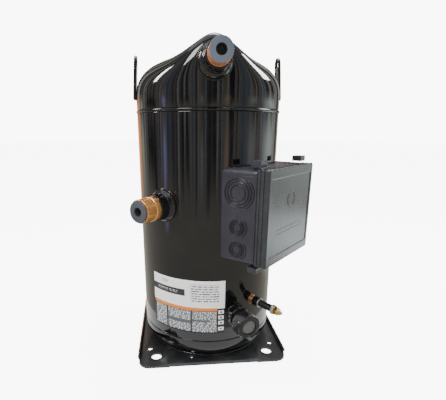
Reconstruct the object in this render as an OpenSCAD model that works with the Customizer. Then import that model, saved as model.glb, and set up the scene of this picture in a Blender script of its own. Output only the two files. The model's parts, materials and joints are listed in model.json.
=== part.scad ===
// Hermetic scroll compressor: a welded steel can on a square foot plate, with a scroll set,
// an electric motor and an oil sump inside. Z points up, the axis of the can is the Z axis,
// and the feet stand at height 0. Directions round the can are measured from the front (-Y)
// towards the right (+X).

/* [Can] */
// Outer radius of the can
can_r = 116; // [112:1:135]
// Wall thickness of the can and its caps
can_wall = 4.5; // [3:0.5:6]
// Height of the joint between the bottom cap and the can
lower_seam_z = 41.5; // [36:0.5:52]
// Height of the joint between the can and the top cap
upper_seam_z = 401; // [396:1:480]
// Rise of the domed top cap above its straight skirt
dome_rise = 63; // [56:1:90]
// Extra rise of the hood in front, over the discharge fitting
hood_rise = 14.6; // [8:0.2:24]
// Half width of the hood round the can, in degrees
hood_spread = 10; // [9:0.5:16]
// Thickness of the partition plate that is welded between can and top cap
partition_t = 4; // [3:0.5:6]

/* [Foot plate] */
// How far the foot plate reaches beyond the sides of the can
foot_reach = 8; // [4:1:20]
// How far the foot plate reaches beyond the front and back of the can
foot_reach_y = 6; // [4:1:20]
// Thickness of the foot plate
foot_t = 4; // [3:0.5:6]
// Height that the middle of the plate stands above its corner pads
foot_step = 3; // [1:0.5:6]
// Height of the turned-up side flanges above the plate
foot_flange_h = 6; // [3:1:12]
// Distance from the sides of the plate to the middle of its mounting holes
hole_inset = 28.75; // [24:0.25:34]
// Diameter of the mounting holes
hole_d = 17.5; // [12:0.5:20]
// Lean of the side flanges outwards, in degrees
foot_flange_lean = 22; // [0:1:35]
// Radius of the plate's rounded corners
corner_r = 18; // [12:1:26]

/* [Discharge fitting] */
// Direction of the discharge stub, in degrees
discharge_az = -1.3; // [-10:0.1:10]
// Height of the discharge stub above the upper joint
discharge_rise = 59; // [50:1:62]
// Outer diameter of the discharge stub
discharge_d = 28.6; // [22.2:0.1:30]
// Distance from the can's wall to the end of the discharge stub
discharge_out = 64; // [56:1:80]
// Diameter of the collar that the discharge stub is brazed into
discharge_collar_d = 46; // [38:1:48]

/* [Suction fitting] */
// Direction of the suction stub, in degrees
suction_az = -40.5; // [-60:0.5:-30]
// Height of the suction stub
suction_z = 263.8; // [256:0.1:268]
// Outer diameter of the suction stub
suction_d = 34.9; // [28.6:0.1:36]
// Distance from the can's wall to the end of the suction stub
suction_out = 52; // [44:1:70]
// Diameter of the collar that the suction stub is brazed into
suction_collar_d = 50; // [44:1:54]
// Wall thickness of both stubs
stub_wall = 1.8; // [1.2:0.1:2.5]
// Radial gap between a plug's stem and its stub
plug_gap = 0.1; // [0.05:0.05:0.3]
// Length of the plug head outside its stub
plug_head = 3; // [2:0.5:8]

/* [Terminal box] */
// Direction that the terminal box faces, in degrees
box_az = 45.5; // [40:0.5:60]
// Height of the middle of the terminal box
box_z = 254; // [245:1:262]
// Half width of the terminal box at its rim
box_half_w = 70.7; // [60:0.1:75]
// Extra half width of the terminal box where it meets the can
box_flare = 6.3; // [3:0.1:8]
// Half height of the terminal box
box_half_h = 69.5; // [62:0.5:78]
// Radius of the terminal box's edges
box_edge_r = 8; // [4:0.5:12]
// Distance from the can's wall to the rim of the terminal box
box_out = 25; // [22:0.5:30]
// Depth of the cover
cover_depth = 17.5; // [15:0.1:26]
// Wall thickness of the terminal box and its cover
box_wall = 2.5; // [1.5:0.1:4]
// Thickness of the cover's gasket
gasket_t = 1.6; // [1:0.1:3]
// Radius of the large knockout
knockout_r = 20.7; // [14:0.1:22]
// Radius of the small knockouts
small_knockout_r = 11.5; // [8:0.1:12]

/* [Oil fittings] */
// Direction of the oil sight glass, in degrees
sight_az = 17.9; // [10:0.1:24]
// Height of the oil sight glass
sight_z = 86.5; // [82:0.1:89]
// Distance from the can's wall to the front of the sight glass
sight_out = 44.1; // [36:0.1:50]
// Size across flats of the sight glass's front nut
sight_af = 36; // [30:1:40]
// Direction of the oil access valve, in degrees
valve_az = 33.9; // [33:0.1:44]
// Height of the oil access valve
valve_z = 105.5; // [92:0.5:110]
// Distance from the can's wall to the tip of the oil access valve
valve_out = 62.3; // [60:0.1:70]

/* [Lifting lugs] */
// Height of each lifting lug
lug_h = 66; // [50:1:80]
// Width of each lifting lug
lug_w = 21; // [18:1:30]
// Thickness of each lifting lug
lug_t = 4.5; // [4:0.5:8]
// Lean of each lifting lug towards the can, in degrees
lug_lean = 4; // [0:0.5:5]
// Diameter of the hole in each lifting lug
lug_hole_d = 14; // [10:1:16]

/* [Scroll set] */
// Radius of the involute's base circle
base_r = 2.9; // [2.6:0.05:3.1]
// Thickness of the scroll wraps
wrap_t = 4.4; // [3.8:0.1:4.6]
// Height of the scroll wraps
wrap_h = 40; // [30:1:45]
// Turns of each wrap
wrap_turns = 2.75; // [2.25:0.25:3]
// Gap left between the wraps where they come closest
flank_gap = 0.4; // [0.3:0.05:0.6]
// Gap between faces that slide on each other
face_gap = 0.15; // [0.1:0.05:0.3]

/* [Motor and shaft] */
// Radius of the shaft in the main bearing
shaft_r = 16; // [14:0.5:17]
// Radius of the shaft in the lower bearing
lower_journal_r = 12; // [10:0.5:13]
// Radius of the crank pin
pin_r = 10; // [8:0.5:10.5]
// Radial clearance of the plain bearings
journal_gap = 0.05; // [0.02:0.01:0.1]
// Outer radius of the rotor
rotor_r = 46; // [42:0.5:50]
// Radial air gap between rotor and stator
air_gap = 0.6; // [0.4:0.1:1]
// Height of the stator's laminated core
core_h = 104; // [80:1:110]
// Number of slots in the stator
slots = 24; // [18:6:36]

/* [Hidden] */
$fn = 64;

can_inner = can_r - can_wall;
plate_top = foot_step + foot_t;
shell_bottom = lower_seam_z;
knuckle_r = 30;
cap_floor = 1.5;
skirt_z = upper_seam_z + 18.7;
partition_z = upper_seam_z - partition_t / 2;
foot_half = can_r + foot_reach;
foot_half_y = can_r + foot_reach_y;
hole_spacing = 2 * (foot_half - hole_inset);
box_rim = can_r + box_out;
dome_n = 2.6;
hood_n = 11.5;
eps = 0.01;
past = 5;

// ---- scroll set and shaft heights, from the partition plate down
seal_top_gap = 2.2;
seat_rise = 6;
partition_under = partition_z + seat_rise;
float_travel = 1;
fixed_top = partition_under - 39;
fixed_plate_t = 14.7;
fixed_under = fixed_top - fixed_plate_t;
tip_gap = 0.3;
orbit_top = fixed_under - wrap_h - tip_gap;
orbit_plate_t = 10.85;
thrust_z = orbit_top - orbit_plate_t - face_gap;
orbit_r = PI * base_r - wrap_t - flank_gap;
wrap_a0 = 120;
wrap_step = 6;
wrap_a1 = wrap_a0 + 360 * wrap_turns;
half_wrap_a = wrap_t / 2 / base_r * 180 / PI;
wrap_outer = base_r * (wrap_a1 + half_wrap_a) * PI / 180;
rim_inner = wrap_outer + wrap_t / 2 + orbit_r + 5;
rim_outer = rim_inner + 14;
orbit_plate_r = rim_outer;
tower_r = orbit_plate_r + orbit_r + 9.5;
bush_r = pin_r + 5;
hub_inner = bush_r + 2;
hub_outer = hub_inner + 6;
well_r = hub_outer + orbit_r + 3.5;
well_floor = thrust_z - 28;
housing_under = well_floor - 34;
housing_hub_r = shaft_r + 12;
bearing_wall = 3;
stator_z = 100;
stator_top = stator_z + core_h;
end_turn = 26;
slot_depth = 32;
bracket_z = 56;
bracket_t = 10;
hub_bottom = 36;
washer_z = hub_bottom + 4.3;
thrust_washer_t = 1.7;
shaft_bottom = washer_z + thrust_washer_t + face_gap;
journal_top = 76;
sump_floor = cap_floor + can_wall;

// Places children on a line that leaves the can square to its wall, at direction az and height z.
// Their Z then points outwards, their Y up and their X round the can.
module outwards(az, z) {
    rotate([0, 0, az])
        translate([0, 0, z])
            rotate([90, 0, 0])
                children();
}

// A cylinder between two distances from the can's axis, on the line that outwards() gives.
module reach(r, from, to) {
    translate([0, 0, from])
        cylinder(r = r, h = to - from);
}

// A tube between two heights.
module tube(outer, inner, from, to) {
    translate([0, 0, from])
        difference() {
            cylinder(r = outer, h = to - from);
            translate([0, 0, -past])
                cylinder(r = inner, h = to - from + 2 * past);
        }
}

// A hexagonal prism of a given size across flats, between two distances.
module hex(flats, from, to) {
    translate([0, 0, from])
        cylinder(d = flats / cos(30), h = to - from, $fn = 6);
}

// A block centred on the line, between two distances.
module slab(half_w, half_h, from, to) {
    translate([-half_w, -half_h, from])
        cube([2 * half_w, 2 * half_h, to - from]);
}

// The space inside a vertical cylinder, used to cut saddles.
module can_space(r) {
    cylinder(r = r, h = 2 * upper_seam_z);
}

// ---- foot plate
pad_len = hole_spacing / 2 - 18;
small_hole_d = 9;
small_hole_out = 12;
small_hole_in = 22;
drain_d = 6;
drain_x = -36;
drain_inset = 16;
flange_t = 3;
module foot_outline() {
    square([2 * foot_half, 2 * (foot_half_y - corner_r)], center = true);
    square([2 * (foot_half - corner_r), 2 * foot_half_y], center = true);
    for (x = [-1, 1])
        for (y = [-1, 1])
            translate([x * (foot_half - corner_r), y * (foot_half_y - corner_r)])
                circle(r = corner_r);
}
// The strip between the corner pads, which stands a step higher and carries the can.
module foot_middle() {
    intersection() {
        foot_outline();
        square([2 * pad_len, 2 * foot_half_y], center = true);
    }
}
module foot_flange() {
    translate([foot_half - flange_t, -(foot_half_y - corner_r), 0])
        cube([flange_t, 2 * (foot_half_y - corner_r), foot_t]);
    translate([foot_half, -(foot_half_y - corner_r), foot_t])
        rotate([0, foot_flange_lean, 0])
            translate([-flange_t, 0, -1])
                cube([flange_t, 2 * (foot_half_y - corner_r), foot_flange_h + 1]);
}
module foot_lip() {
    translate([-pad_len, foot_half_y - foot_t, 1])
        cube([2 * pad_len, foot_t, plate_top - 1]);
}
module base_plate() {
    color([0.10, 0.11, 0.12])
        difference() {
            union() {
                linear_extrude(foot_t)
                    difference() {
                        foot_outline();
                        square([2 * pad_len - 2 * foot_t, 3 * foot_half], center = true);
                    }
                translate([0, 0, foot_step])
                    linear_extrude(foot_t)
                        foot_middle();
                for (side = [0, 180])
                    rotate([0, 0, side]) {
                        foot_flange();
                        foot_lip();
                    }
            }
            for (x = [-1, 1])
                for (y = [-1, 1]) {
                    translate([x * hole_spacing / 2, y * hole_spacing / 2, -past])
                        cylinder(d = hole_d, h = 4 * past);
                    translate([x * (hole_spacing / 2 + small_hole_out),
                        y * (hole_spacing / 2 - small_hole_in), -past])
                        cylinder(d = small_hole_d, h = 4 * past);
                }
            for (y = [-1, 1])
                translate([drain_x, y * (foot_half_y - drain_inset), -past])
                    cylinder(d = drain_d, h = 4 * past);
            rotate_extrude()
                polygon(concat([[0, -past], [can_r - knuckle_r, -past]],
                    knuckle_arc(knuckle_r), [[can_r, 2 * lower_seam_z], [0, 2 * lower_seam_z]]));
        }
}

// ---- can
lap = 10;
// Points of a quarter circle that rounds the bottom cap, from its floor up to its wall.
function knuckle_arc(r) = [for (a = [90:-10:0])
    [can_r - knuckle_r + r * cos(a), cap_floor + knuckle_r - r * sin(a)]];
function reversed(list) = [for (i = [len(list) - 1:-1:0]) list[i]];
module lower_cap() {
    color([0.05, 0.05, 0.055])
        rotate_extrude()
            polygon(concat(
                [[0, cap_floor]],
                knuckle_arc(knuckle_r),
                [[can_r, lower_seam_z], [can_inner, lower_seam_z],
                 [can_inner, lower_seam_z + lap], [can_inner - can_wall, lower_seam_z + lap],
                 [can_inner - can_wall, lower_seam_z - 2]],
                reversed(knuckle_arc(knuckle_r - can_wall)),
                [[0, sump_floor]]));
}
module center_shell() {
    color([0.05, 0.05, 0.055])
        difference() {
            tube(can_r, can_inner, shell_bottom, partition_z);
            outwards(suction_az, suction_z)
                reach(suction_d / 2 + root_extra, 0, 2 * can_r);
            outwards(box_az, box_z)
                reach(cup_r, 0, 2 * can_r);
            outwards(box_az, box_z)
                translate([ground_x, ground_y, 0])
                    reach(ground_r, 0, 2 * can_r);
            outwards(sight_az, sight_z)
                reach(sight_bore_r, 0, 2 * can_r);
            outwards(valve_az, valve_z)
                reach(valve_bore_r, 0, 2 * can_r);
        }
}
seam_lip = 1.3;
raised_r = 60;
rim_w = 7;
module partition_plate() {
    top = partition_z + partition_t;
    color([0.35, 0.35, 0.37])
        rotate_extrude()
            polygon([[port_r, partition_under], [raised_r, partition_under],
                [can_inner - rim_w, partition_z], [can_r + seam_lip, partition_z],
                [can_r + seam_lip, top], [can_inner - rim_w, top],
                [raised_r + 1, partition_under + partition_t], [port_r, partition_under + partition_t]]);
}

// Top cap: in every direction its outline is a superellipse. In front its exponent grows, so the
// wall runs on upwards into a hood over the discharge fitting.
cap_sides = 60;
cap_rows = 11;
function hood(a) = 2 / (exp(a / hood_spread) + exp(-a / hood_spread));
function cap_dir(i) = let (u = 2 * i / cap_sides - 1) discharge_az + 180 * sign(u) * pow(abs(u), 1.6);
function cap_n(a) = dome_n + hood_n * hood(a - discharge_az);
function cap_k(psi, n) = 1 / pow(pow(cos(psi), n) + pow(sin(psi), n), 1 / n);
function cap_b(a, rho) = dome_rise + hood_rise * hood(a - discharge_az) * rho * rho * (3 - 2 * rho);
function cap_point(a, psi, wall) = let (
    k = cap_k(psi, cap_n(a)),
    rho = min(1, k * cos(psi)),
    b = cap_b(a, rho),
    r = (can_r - wall) * k * cos(psi),
    z = skirt_z + (b - wall) * k * sin(psi))
    [r * sin(a), -r * cos(a), z];
function cap_ring(a_list, psi, wall) = [for (a = a_list) cap_point(a, psi, wall)];
function skirt_ring(a_list, wall) = [for (a = a_list)
    [(can_r - wall) * sin(a), -(can_r - wall) * cos(a), partition_z + partition_t]];
function strip(first, second, n) = [for (i = [0:n - 1]) for (t = [0, 1])
    t == 0 ? [first + i, second + i, second + (i + 1) % n]
           : [first + i, second + (i + 1) % n, first + (i + 1) % n]];
module cap_body() {
    dirs = [for (i = [0:cap_sides - 1]) cap_dir(i)];
    turns = [for (j = [0:cap_rows - 1]) 90 * j / cap_rows];
    n = cap_sides;
    outer = concat(skirt_ring(dirs, 0), [for (psi = turns) each cap_ring(dirs, psi, 0)]);
    inner = concat(skirt_ring(dirs, can_wall), [for (psi = turns) each cap_ring(dirs, psi, can_wall)]);
    half = len(outer);
    apex = 2 * half;
    rows = cap_rows + 1;
    polyhedron(
        points = concat(outer, inner,
            [[0, 0, skirt_z + dome_rise], [0, 0, skirt_z + dome_rise - can_wall]]),
        faces = concat(
            [for (j = [0:rows - 2]) each strip(j * n, (j + 1) * n, n)],
            [for (i = [0:n - 1]) [(rows - 1) * n + i, apex, (rows - 1) * n + (i + 1) % n]],
            [for (j = [0:rows - 2]) each strip(half + (j + 1) * n, half + j * n, n)],
            [for (i = [0:n - 1]) [half + (rows - 1) * n + (i + 1) % n, apex + 1, half + (rows - 1) * n + i]],
            strip(half, 0, n)),
        convexity = 6);
}
module top_cap() {
    color([0.05, 0.05, 0.055])
        difference() {
            cap_body();
            outwards(discharge_az, discharge_z)
                reach(discharge_d / 2 + root_extra, can_r / 2, 2 * can_r);
        }
}

// ---- lifting lugs
lug_z = upper_seam_z + 19;
lug_x = can_r + 0.4;
module lug() {
    difference() {
        rotate([90, 0, 90])
            linear_extrude(lug_t) {
                translate([-lug_w / 2, 0])
                    square([lug_w, lug_h - lug_w / 2]);
                translate([0, lug_h - lug_w / 2])
                    circle(d = lug_w);
            }
        translate([-past, 0, lug_h - lug_w / 2])
            rotate([0, 90, 0])
                cylinder(d = lug_hole_d, h = lug_t + 2 * past);
    }
}
module lifting_lug_right() {
    color([0.08, 0.08, 0.085])
        translate([lug_x, 0, lug_z])
            rotate([0, -lug_lean, 0])
                lug();
}
module lifting_lug_left() {
    color([0.08, 0.08, 0.085])
        mirror([1, 0, 0])
            translate([lug_x, 0, lug_z])
                rotate([0, -lug_lean, 0])
                    lug();
}

// ---- stubs, their collars and their plugs
discharge_z = upper_seam_z + discharge_rise;
collar_out = 9;
neck_t = 2.4;
discharge_neck = 46;
suction_neck = 25;
suction_bell = 8;
root_extra = 0.4;
stem_len = 14;
discharge_plug_rim = 0.2;
suction_plug_rim = 1.5;
grip_hole_r = 6.5;
grip_hole_depth = 8;
collar_root = 12;
stub_inside = 4;
bell_extra = 0.9;
// A flange on the can with a neck that the stub is brazed into.
module collar(flange_d, stub_d, neck) {
    difference() {
        union() {
            reach(flange_d / 2, can_r - collar_root, can_r + collar_out);
            reach(stub_d / 2 + neck_t, can_r, can_r + neck);
        }
        reach(stub_d / 2 + root_extra, can_r / 2, 2 * can_r);
    }
}
// The stub is a little thicker inside its collar than outside.
module stub(stub_d, neck, bell, out) {
    difference() {
        union() {
            reach(stub_d / 2 + root_extra, can_inner - stub_inside, can_r + neck);
            reach(stub_d / 2, can_r + neck - 1, can_r + out);
            if (bell > 0)
                reach(stub_d / 2 + bell_extra, can_r + neck, can_r + neck + bell);
        }
        reach(stub_d / 2 - stub_wall, can_r / 2, 2 * can_r);
    }
}
module plug(stub_d, rim, out) {
    difference() {
        union() {
            reach(stub_d / 2 - stub_wall - plug_gap, can_r + out - stem_len, can_r + out + 1);
            reach(stub_d / 2 - rim, can_r + out + face_gap, can_r + out + plug_head);
        }
        reach(grip_hole_r, can_r + out - grip_hole_depth, can_r + out + past);
    }
}
module discharge_collar() {
    color([0.07, 0.07, 0.075])
        difference() {
            outwards(discharge_az, discharge_z)
                collar(discharge_collar_d, discharge_d, discharge_neck);
            can_space(can_r);
        }
}
module discharge_stub() {
    color([0.72, 0.42, 0.24])
        outwards(discharge_az, discharge_z)
            stub(discharge_d, discharge_neck, 0, discharge_out);
}
module discharge_plug() {
    color([0.52, 0.57, 0.63])
        outwards(discharge_az, discharge_z)
            plug(discharge_d, discharge_plug_rim, discharge_out);
}
module suction_collar() {
    color([0.07, 0.07, 0.075])
        difference() {
            outwards(suction_az, suction_z)
                collar(suction_collar_d, suction_d, suction_neck);
            can_space(can_r);
        }
}
module suction_stub() {
    color([0.72, 0.42, 0.24])
        outwards(suction_az, suction_z)
            stub(suction_d, suction_neck, suction_bell, suction_out);
}
module suction_plug() {
    color([0.16, 0.16, 0.17])
        outwards(suction_az, suction_z)
            plug(suction_d, suction_plug_rim, suction_out);
}
baffle_span = 34;
baffle_t = 1.5;
baffle_gap = 8;
baffle_h = 36;
baffle_drop = 22;
module suction_baffle() {
    color([0.6, 0.6, 0.58])
        rotate([0, 0, suction_az - 90 - baffle_span / 2]) {
            rotate_extrude(angle = baffle_span)
                translate([can_inner - baffle_gap, suction_z - baffle_drop])
                    square([baffle_t, baffle_h]);
            for (a = [0, baffle_span])
                rotate([0, 0, a - 1])
                    rotate_extrude(angle = 2)
                        translate([can_inner - baffle_gap + baffle_t, suction_z - baffle_drop])
                            square([baffle_gap - baffle_t, baffle_h]);
        }
}

// ---- terminal box
cup_r = 24;
fence_r = 33;
fence_wall = 3;
fence_out = 10;
saddle_gap = 0.5;
ground_r = 2.5;
ground_x = 40;
ground_y = -42;
box_from = box_rim - 71;
box_rear = box_rim - 55;
flare_a = atan(box_flare / (box_rim - box_rear));
edge_proud = 0.1;
knockout_at = box_rim - 27.5;
knockout_y = box_half_h - knockout_r - 13.8;
middle_knockout_y = knockout_y - knockout_r - small_knockout_r - 18.1;
lower_knockout_y = middle_knockout_y - 2 * small_knockout_r - 10.5;
ring_w = 0.9;
ring_depth = 1.6;
ear_w = 16;
ear_x = box_half_w - 8.5;
ear_up = 11;
ear_sunk = 4;
ear_hole_d = 5;
ear_back = box_rim - 10;
ear_front = box_rim + 5;
cover_overlap = 0.4;
cover_half_h = box_half_h + cover_overlap;
groove_w = 2.6;
groove_depth = 1.2;
frame_w = 7;
frame_h = 13.5;
recess = 1;
cover_back = box_rim + 0.3;
cover_front = cover_back + gasket_t + cover_depth;
// Half width of the box at a given distance from the can's axis.
function box_w(half_w, at) = half_w + (box_rim - at) * tan(flare_a);
// A block whose sides spread towards the can, square at its edges.
module flared(half_w, half_h, from, to) {
    rotate([90, 0, 0])
        translate([0, 0, -half_h])
            linear_extrude(2 * half_h)
                polygon([[-box_w(half_w, from), from], [box_w(half_w, from), from],
                    [box_w(half_w, to), to], [-box_w(half_w, to), to]]);
}
// The same block with its four long edges rounded.
module flared_block(half_w, half_h, radius, from, to) {
    flared(half_w, half_h - radius, from, to);
    flared(half_w - radius, half_h, from, to);
    intersection() {
        slab(2 * can_r, 2 * can_r, from, to);
        for (sx = [-1, 1])
            for (sy = [-1, 1])
                translate([sx * (half_w - radius), sy * (half_h - radius), box_rim])
                    rotate([0, -sx * flare_a, 0])
                        cylinder(r = radius + edge_proud, h = 2 * can_r, center = true);
    }
}
module knockout(y, r) {
    translate([-box_w(box_half_w, knockout_at), y, knockout_at])
        rotate([0, flare_a - 90, 0])
            for (k = [1, 0.8, 0.55])
                difference() {
                    cylinder(r = r * k, h = ring_depth, center = true);
                    cylinder(r = r * k - ring_w, h = 2 * ring_depth, center = true);
                }
}
module box_ears() {
    for (sx = [-1, 1])
        for (sy = [-1, 1])
            difference() {
                translate([sx * ear_x - ear_w / 2,
                    sy > 0 ? box_half_h - ear_sunk : -box_half_h - ear_up, ear_back])
                    cube([ear_w, ear_up + ear_sunk, ear_front - ear_back]);
                translate([sx * ear_x, sy * (box_half_h + ear_up / 2), (ear_back + ear_front) / 2])
                    rotate([90, 0, 0])
                        cylinder(d = ear_hole_d, h = 2 * ear_up, center = true);
            }
}
module terminal_box() {
    color([0.09, 0.09, 0.11])
        difference() {
            outwards(box_az, box_z)
                union() {
                    flared_block(box_half_w, box_half_h, box_edge_r, box_from, box_rim);
                    box_ears();
                }
            can_space(can_r + saddle_gap);
            outwards(box_az, box_z)
                slab(can_r, cover_half_h + 0.4, box_rim, 2 * can_r);
            difference() {
                outwards(box_az, box_z)
                    flared_block(box_half_w - box_wall, box_half_h - box_wall, box_edge_r - box_wall,
                        box_from - past, box_rim + past);
                can_space(can_r + saddle_gap + box_wall);
            }
            outwards(box_az, box_z)
                reach(fence_r, can_r / 2, box_rim + past);
            outwards(box_az, box_z)
                translate([ground_x, ground_y, 0])
                    reach(ground_r, can_r / 2, box_rim + past);
            outwards(box_az, box_z) {
                knockout(knockout_y, knockout_r);
                knockout(middle_knockout_y, small_knockout_r);
                knockout(lower_knockout_y, small_knockout_r);
            }
        }
}
module cover_gasket() {
    color([0.12, 0.12, 0.12])
        outwards(box_az, box_z)
            difference() {
                slab(box_half_w - 1, box_half_h - 0.5, cover_back, cover_back + gasket_t);
                slab(box_half_w - box_wall - 0.5, box_half_h - box_wall - 0.5, 0, 2 * can_r);
            }
}
// The block that cuts a groove round the cover.
module cover_groove(at, width, depth) {
    difference() {
        slab(2 * box_half_w, 2 * box_half_h, at, at + width);
        slab(box_half_w - depth, cover_half_h - depth, 0, 2 * can_r);
    }
}
module terminal_box_cover() {
    back = cover_back + gasket_t;
    color([0.10, 0.10, 0.12])
        outwards(box_az, box_z)
            difference() {
                slab(box_half_w, cover_half_h, back, cover_front);
                slab(box_half_w - box_wall, cover_half_h - box_wall, back - past,
                    cover_front - box_wall - recess);
                cover_groove(back + 3, groove_w, groove_depth);
                cover_groove(back + 9, groove_w, groove_depth);
                slab(box_half_w - frame_w, cover_half_h - frame_h, cover_front - recess, cover_front + past);
            }
}
module terminal_fence() {
    color([0.45, 0.45, 0.46])
        difference() {
            outwards(box_az, box_z)
                difference() {
                    reach(fence_r, can_r / 2, can_r + fence_out);
                    reach(fence_r - fence_wall, 0, 2 * can_r);
                }
            can_space(can_r);
        }
}
pin_ring = 11;
pin_rad = 2;
bead_r = 4.5;
cup_depth = 6;
cup_wall = 2.5;
block_r = 20;
pin_hold = 5;
screw_head_r = 4.5;
screw_head = 3;
module three_ways() {
    for (a = [90, 210, 330])
        rotate([0, 0, a])
            translate([pin_ring, 0, 0])
                children();
}
module terminal_cup() {
    color([0.55, 0.55, 0.56])
        outwards(box_az, box_z)
            difference() {
                reach(cup_r, can_inner - cup_depth, can_r + 2);
                reach(cup_r - cup_wall, can_inner - cup_depth / 2, can_r + 2 + past);
                three_ways()
                    reach(bead_r, 0, 2 * can_r);
            }
}
module terminal_glass() {
    color([0.25, 0.35, 0.30])
        outwards(box_az, box_z)
            three_ways()
                difference() {
                    reach(bead_r, can_inner - cup_depth - 2, can_inner - 1);
                    reach(pin_rad, 0, 2 * can_r);
                }
}
module terminal_pins() {
    color([0.72, 0.55, 0.35])
        outwards(box_az, box_z)
            three_ways()
                reach(pin_rad, can_inner - 16, block_from + pin_hold - 1);
}
block_from = can_r + 4;
block_to = can_r + 16;
module terminal_block() {
    color([0.16, 0.14, 0.13])
        outwards(box_az, box_z)
            difference() {
                reach(block_r, block_from, block_to);
                three_ways() {
                    reach(pin_rad, 0, block_from + pin_hold);
                    reach(screw_r, block_from + pin_hold - 0.5, block_to + past);
                }
            }
}
screw_r = 2.5;
module terminal_screws() {
    color([0.75, 0.75, 0.72])
        outwards(box_az, box_z)
            three_ways()
                difference() {
                    union() {
                        reach(screw_r, block_from + pin_hold + 0.2, block_to);
                        reach(screw_head_r, block_to, block_to + screw_head);
                    }
                    slab(6, 0.6, block_to + 0.6 * screw_head, block_to + past);
                }
}
module ground_screw() {
    head = can_r + saddle_gap + box_wall;
    seat = sqrt(head * head - ground_x * ground_x) + 1.3;
    color([0.35, 0.60, 0.35])
        outwards(box_az, box_z)
            translate([ground_x, ground_y, 0]) {
                reach(ground_r, seat - 16, seat);
                hex(8, seat, seat + 4);
            }
}

// ---- oil sight glass
sight_bore_r = 9;
sight_neck_r = 12.5;
sight_hex_out = 13;
sight_neck_out = 21;
sight_seal_t = 1.5;
sight_nut_out = sight_neck_out + sight_seal_t;
lens_r = 11.5;
lens_seat = 5;
lens_t = 4;
module sight_glass_fitting() {
    color([0.06, 0.06, 0.07])
        difference() {
            outwards(sight_az, sight_z)
                difference() {
                    union() {
                        hex(sight_af - 4, can_r - 6, can_r + sight_hex_out);
                        reach(sight_neck_r, can_r + sight_hex_out, can_r + sight_neck_out);
                    }
                    reach(sight_bore_r, 0, 2 * can_r);
                }
            can_space(can_r);
        }
}
module sight_glass_nut() {
    front = can_r + sight_out;
    color([0.08, 0.08, 0.09])
        outwards(sight_az, sight_z)
            difference() {
                intersection() {
                    hex(sight_af, can_r + sight_nut_out, front);
                    translate([0, 0, can_r + sight_nut_out])
                        cylinder(r1 = sight_af / 2 + 16, r2 = sight_af / 2 - 0.6,
                            h = sight_out - sight_nut_out);
                }
                reach(sight_bore_r, 0, 2 * can_r);
                reach(lens_r, front - lens_seat, front + past);
            }
}
module sight_glass_seal() {
    color([0.1, 0.1, 0.1])
        outwards(sight_az, sight_z)
            difference() {
                reach(sight_neck_r + 1.5, can_r + sight_neck_out, can_r + sight_nut_out);
                reach(sight_bore_r, 0, 2 * can_r);
            }
}
module sight_glass_lens() {
    front = can_r + sight_out;
    color([0.55, 0.57, 0.58])
        outwards(sight_az, sight_z)
            reach(lens_r, front - lens_seat, front - lens_seat + lens_t);
}

// ---- oil access valve
valve_bore_r = 2.2;
core_bore_r = 2;
valve_base_r = 7;
valve_base_out = 7;
valve_af = 15;
stem_r = 3.9;
grip_r = 5.8;
washer_r = 7.5;
washer_gap = 0.4;
washer_t = 2;
cap_skirt_r = 7.6;
cap_skirt = 4.5;
cap_af = 11.5;
cap_nose = 6;
valve_hex_out = 17;
valve_body_out = 44;
valve_stem_end = can_r + valve_body_out + 8;
module oil_valve_base() {
    color([0.62, 0.38, 0.24])
        difference() {
            outwards(valve_az, valve_z)
                difference() {
                    reach(valve_base_r, can_r - 4, can_r + valve_base_out);
                    reach(valve_bore_r, 0, 2 * can_r);
                }
            can_space(can_r);
        }
}
module oil_valve_body() {
    color([0.07, 0.07, 0.07])
        outwards(valve_az, valve_z)
            difference() {
                union() {
                    hex(valve_af, can_r + valve_base_out, can_r + valve_hex_out);
                    reach(stem_r, can_r + valve_hex_out, valve_stem_end);
                    reach(grip_r, can_r + valve_hex_out + washer_t + 1.4, can_r + valve_body_out - 0.4);
                }
                reach(core_bore_r, 0, 2 * can_r);
            }
}
module oil_valve_washer() {
    color([0.7, 0.7, 0.7])
        outwards(valve_az, valve_z)
            difference() {
                reach(washer_r, can_r + valve_hex_out + washer_gap,
                    can_r + valve_hex_out + washer_gap + washer_t);
                reach(stem_r, 0, 2 * can_r);
            }
}
module oil_valve_core() {
    color([0.8, 0.7, 0.4])
        outwards(valve_az, valve_z)
            reach(core_bore_r - journal_gap, can_r + valve_hex_out, valve_stem_end - 0.5);
}
module oil_valve_cap() {
    tip = can_r + valve_out;
    collar_at = can_r + valve_body_out;
    color([0.80, 0.62, 0.28])
        outwards(valve_az, valve_z)
            difference() {
                union() {
                    reach(cap_skirt_r, collar_at, collar_at + cap_skirt);
                    hex(cap_af, collar_at + cap_skirt, tip - cap_nose);
                    translate([0, 0, tip - cap_nose])
                        cylinder(r1 = cap_af / 2 - 0.55, r2 = cap_af / 4 - 0.275, h = cap_nose);
                }
                reach(stem_r + journal_gap, 0, valve_stem_end + 0.4);
            }
}

// ---- rating label
label_t = 0.3;
label_from = -54.9;
label_to = 8.6;
label_z = lower_seam_z + 15.5;
label_h = 91.3;
module rating_label() {
    color([0.93, 0.93, 0.92])
        rotate([0, 0, label_from - 90])
            rotate_extrude(angle = label_to - label_from)
                translate([can_r, label_z])
                    square([label_t, label_h]);
}

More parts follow.
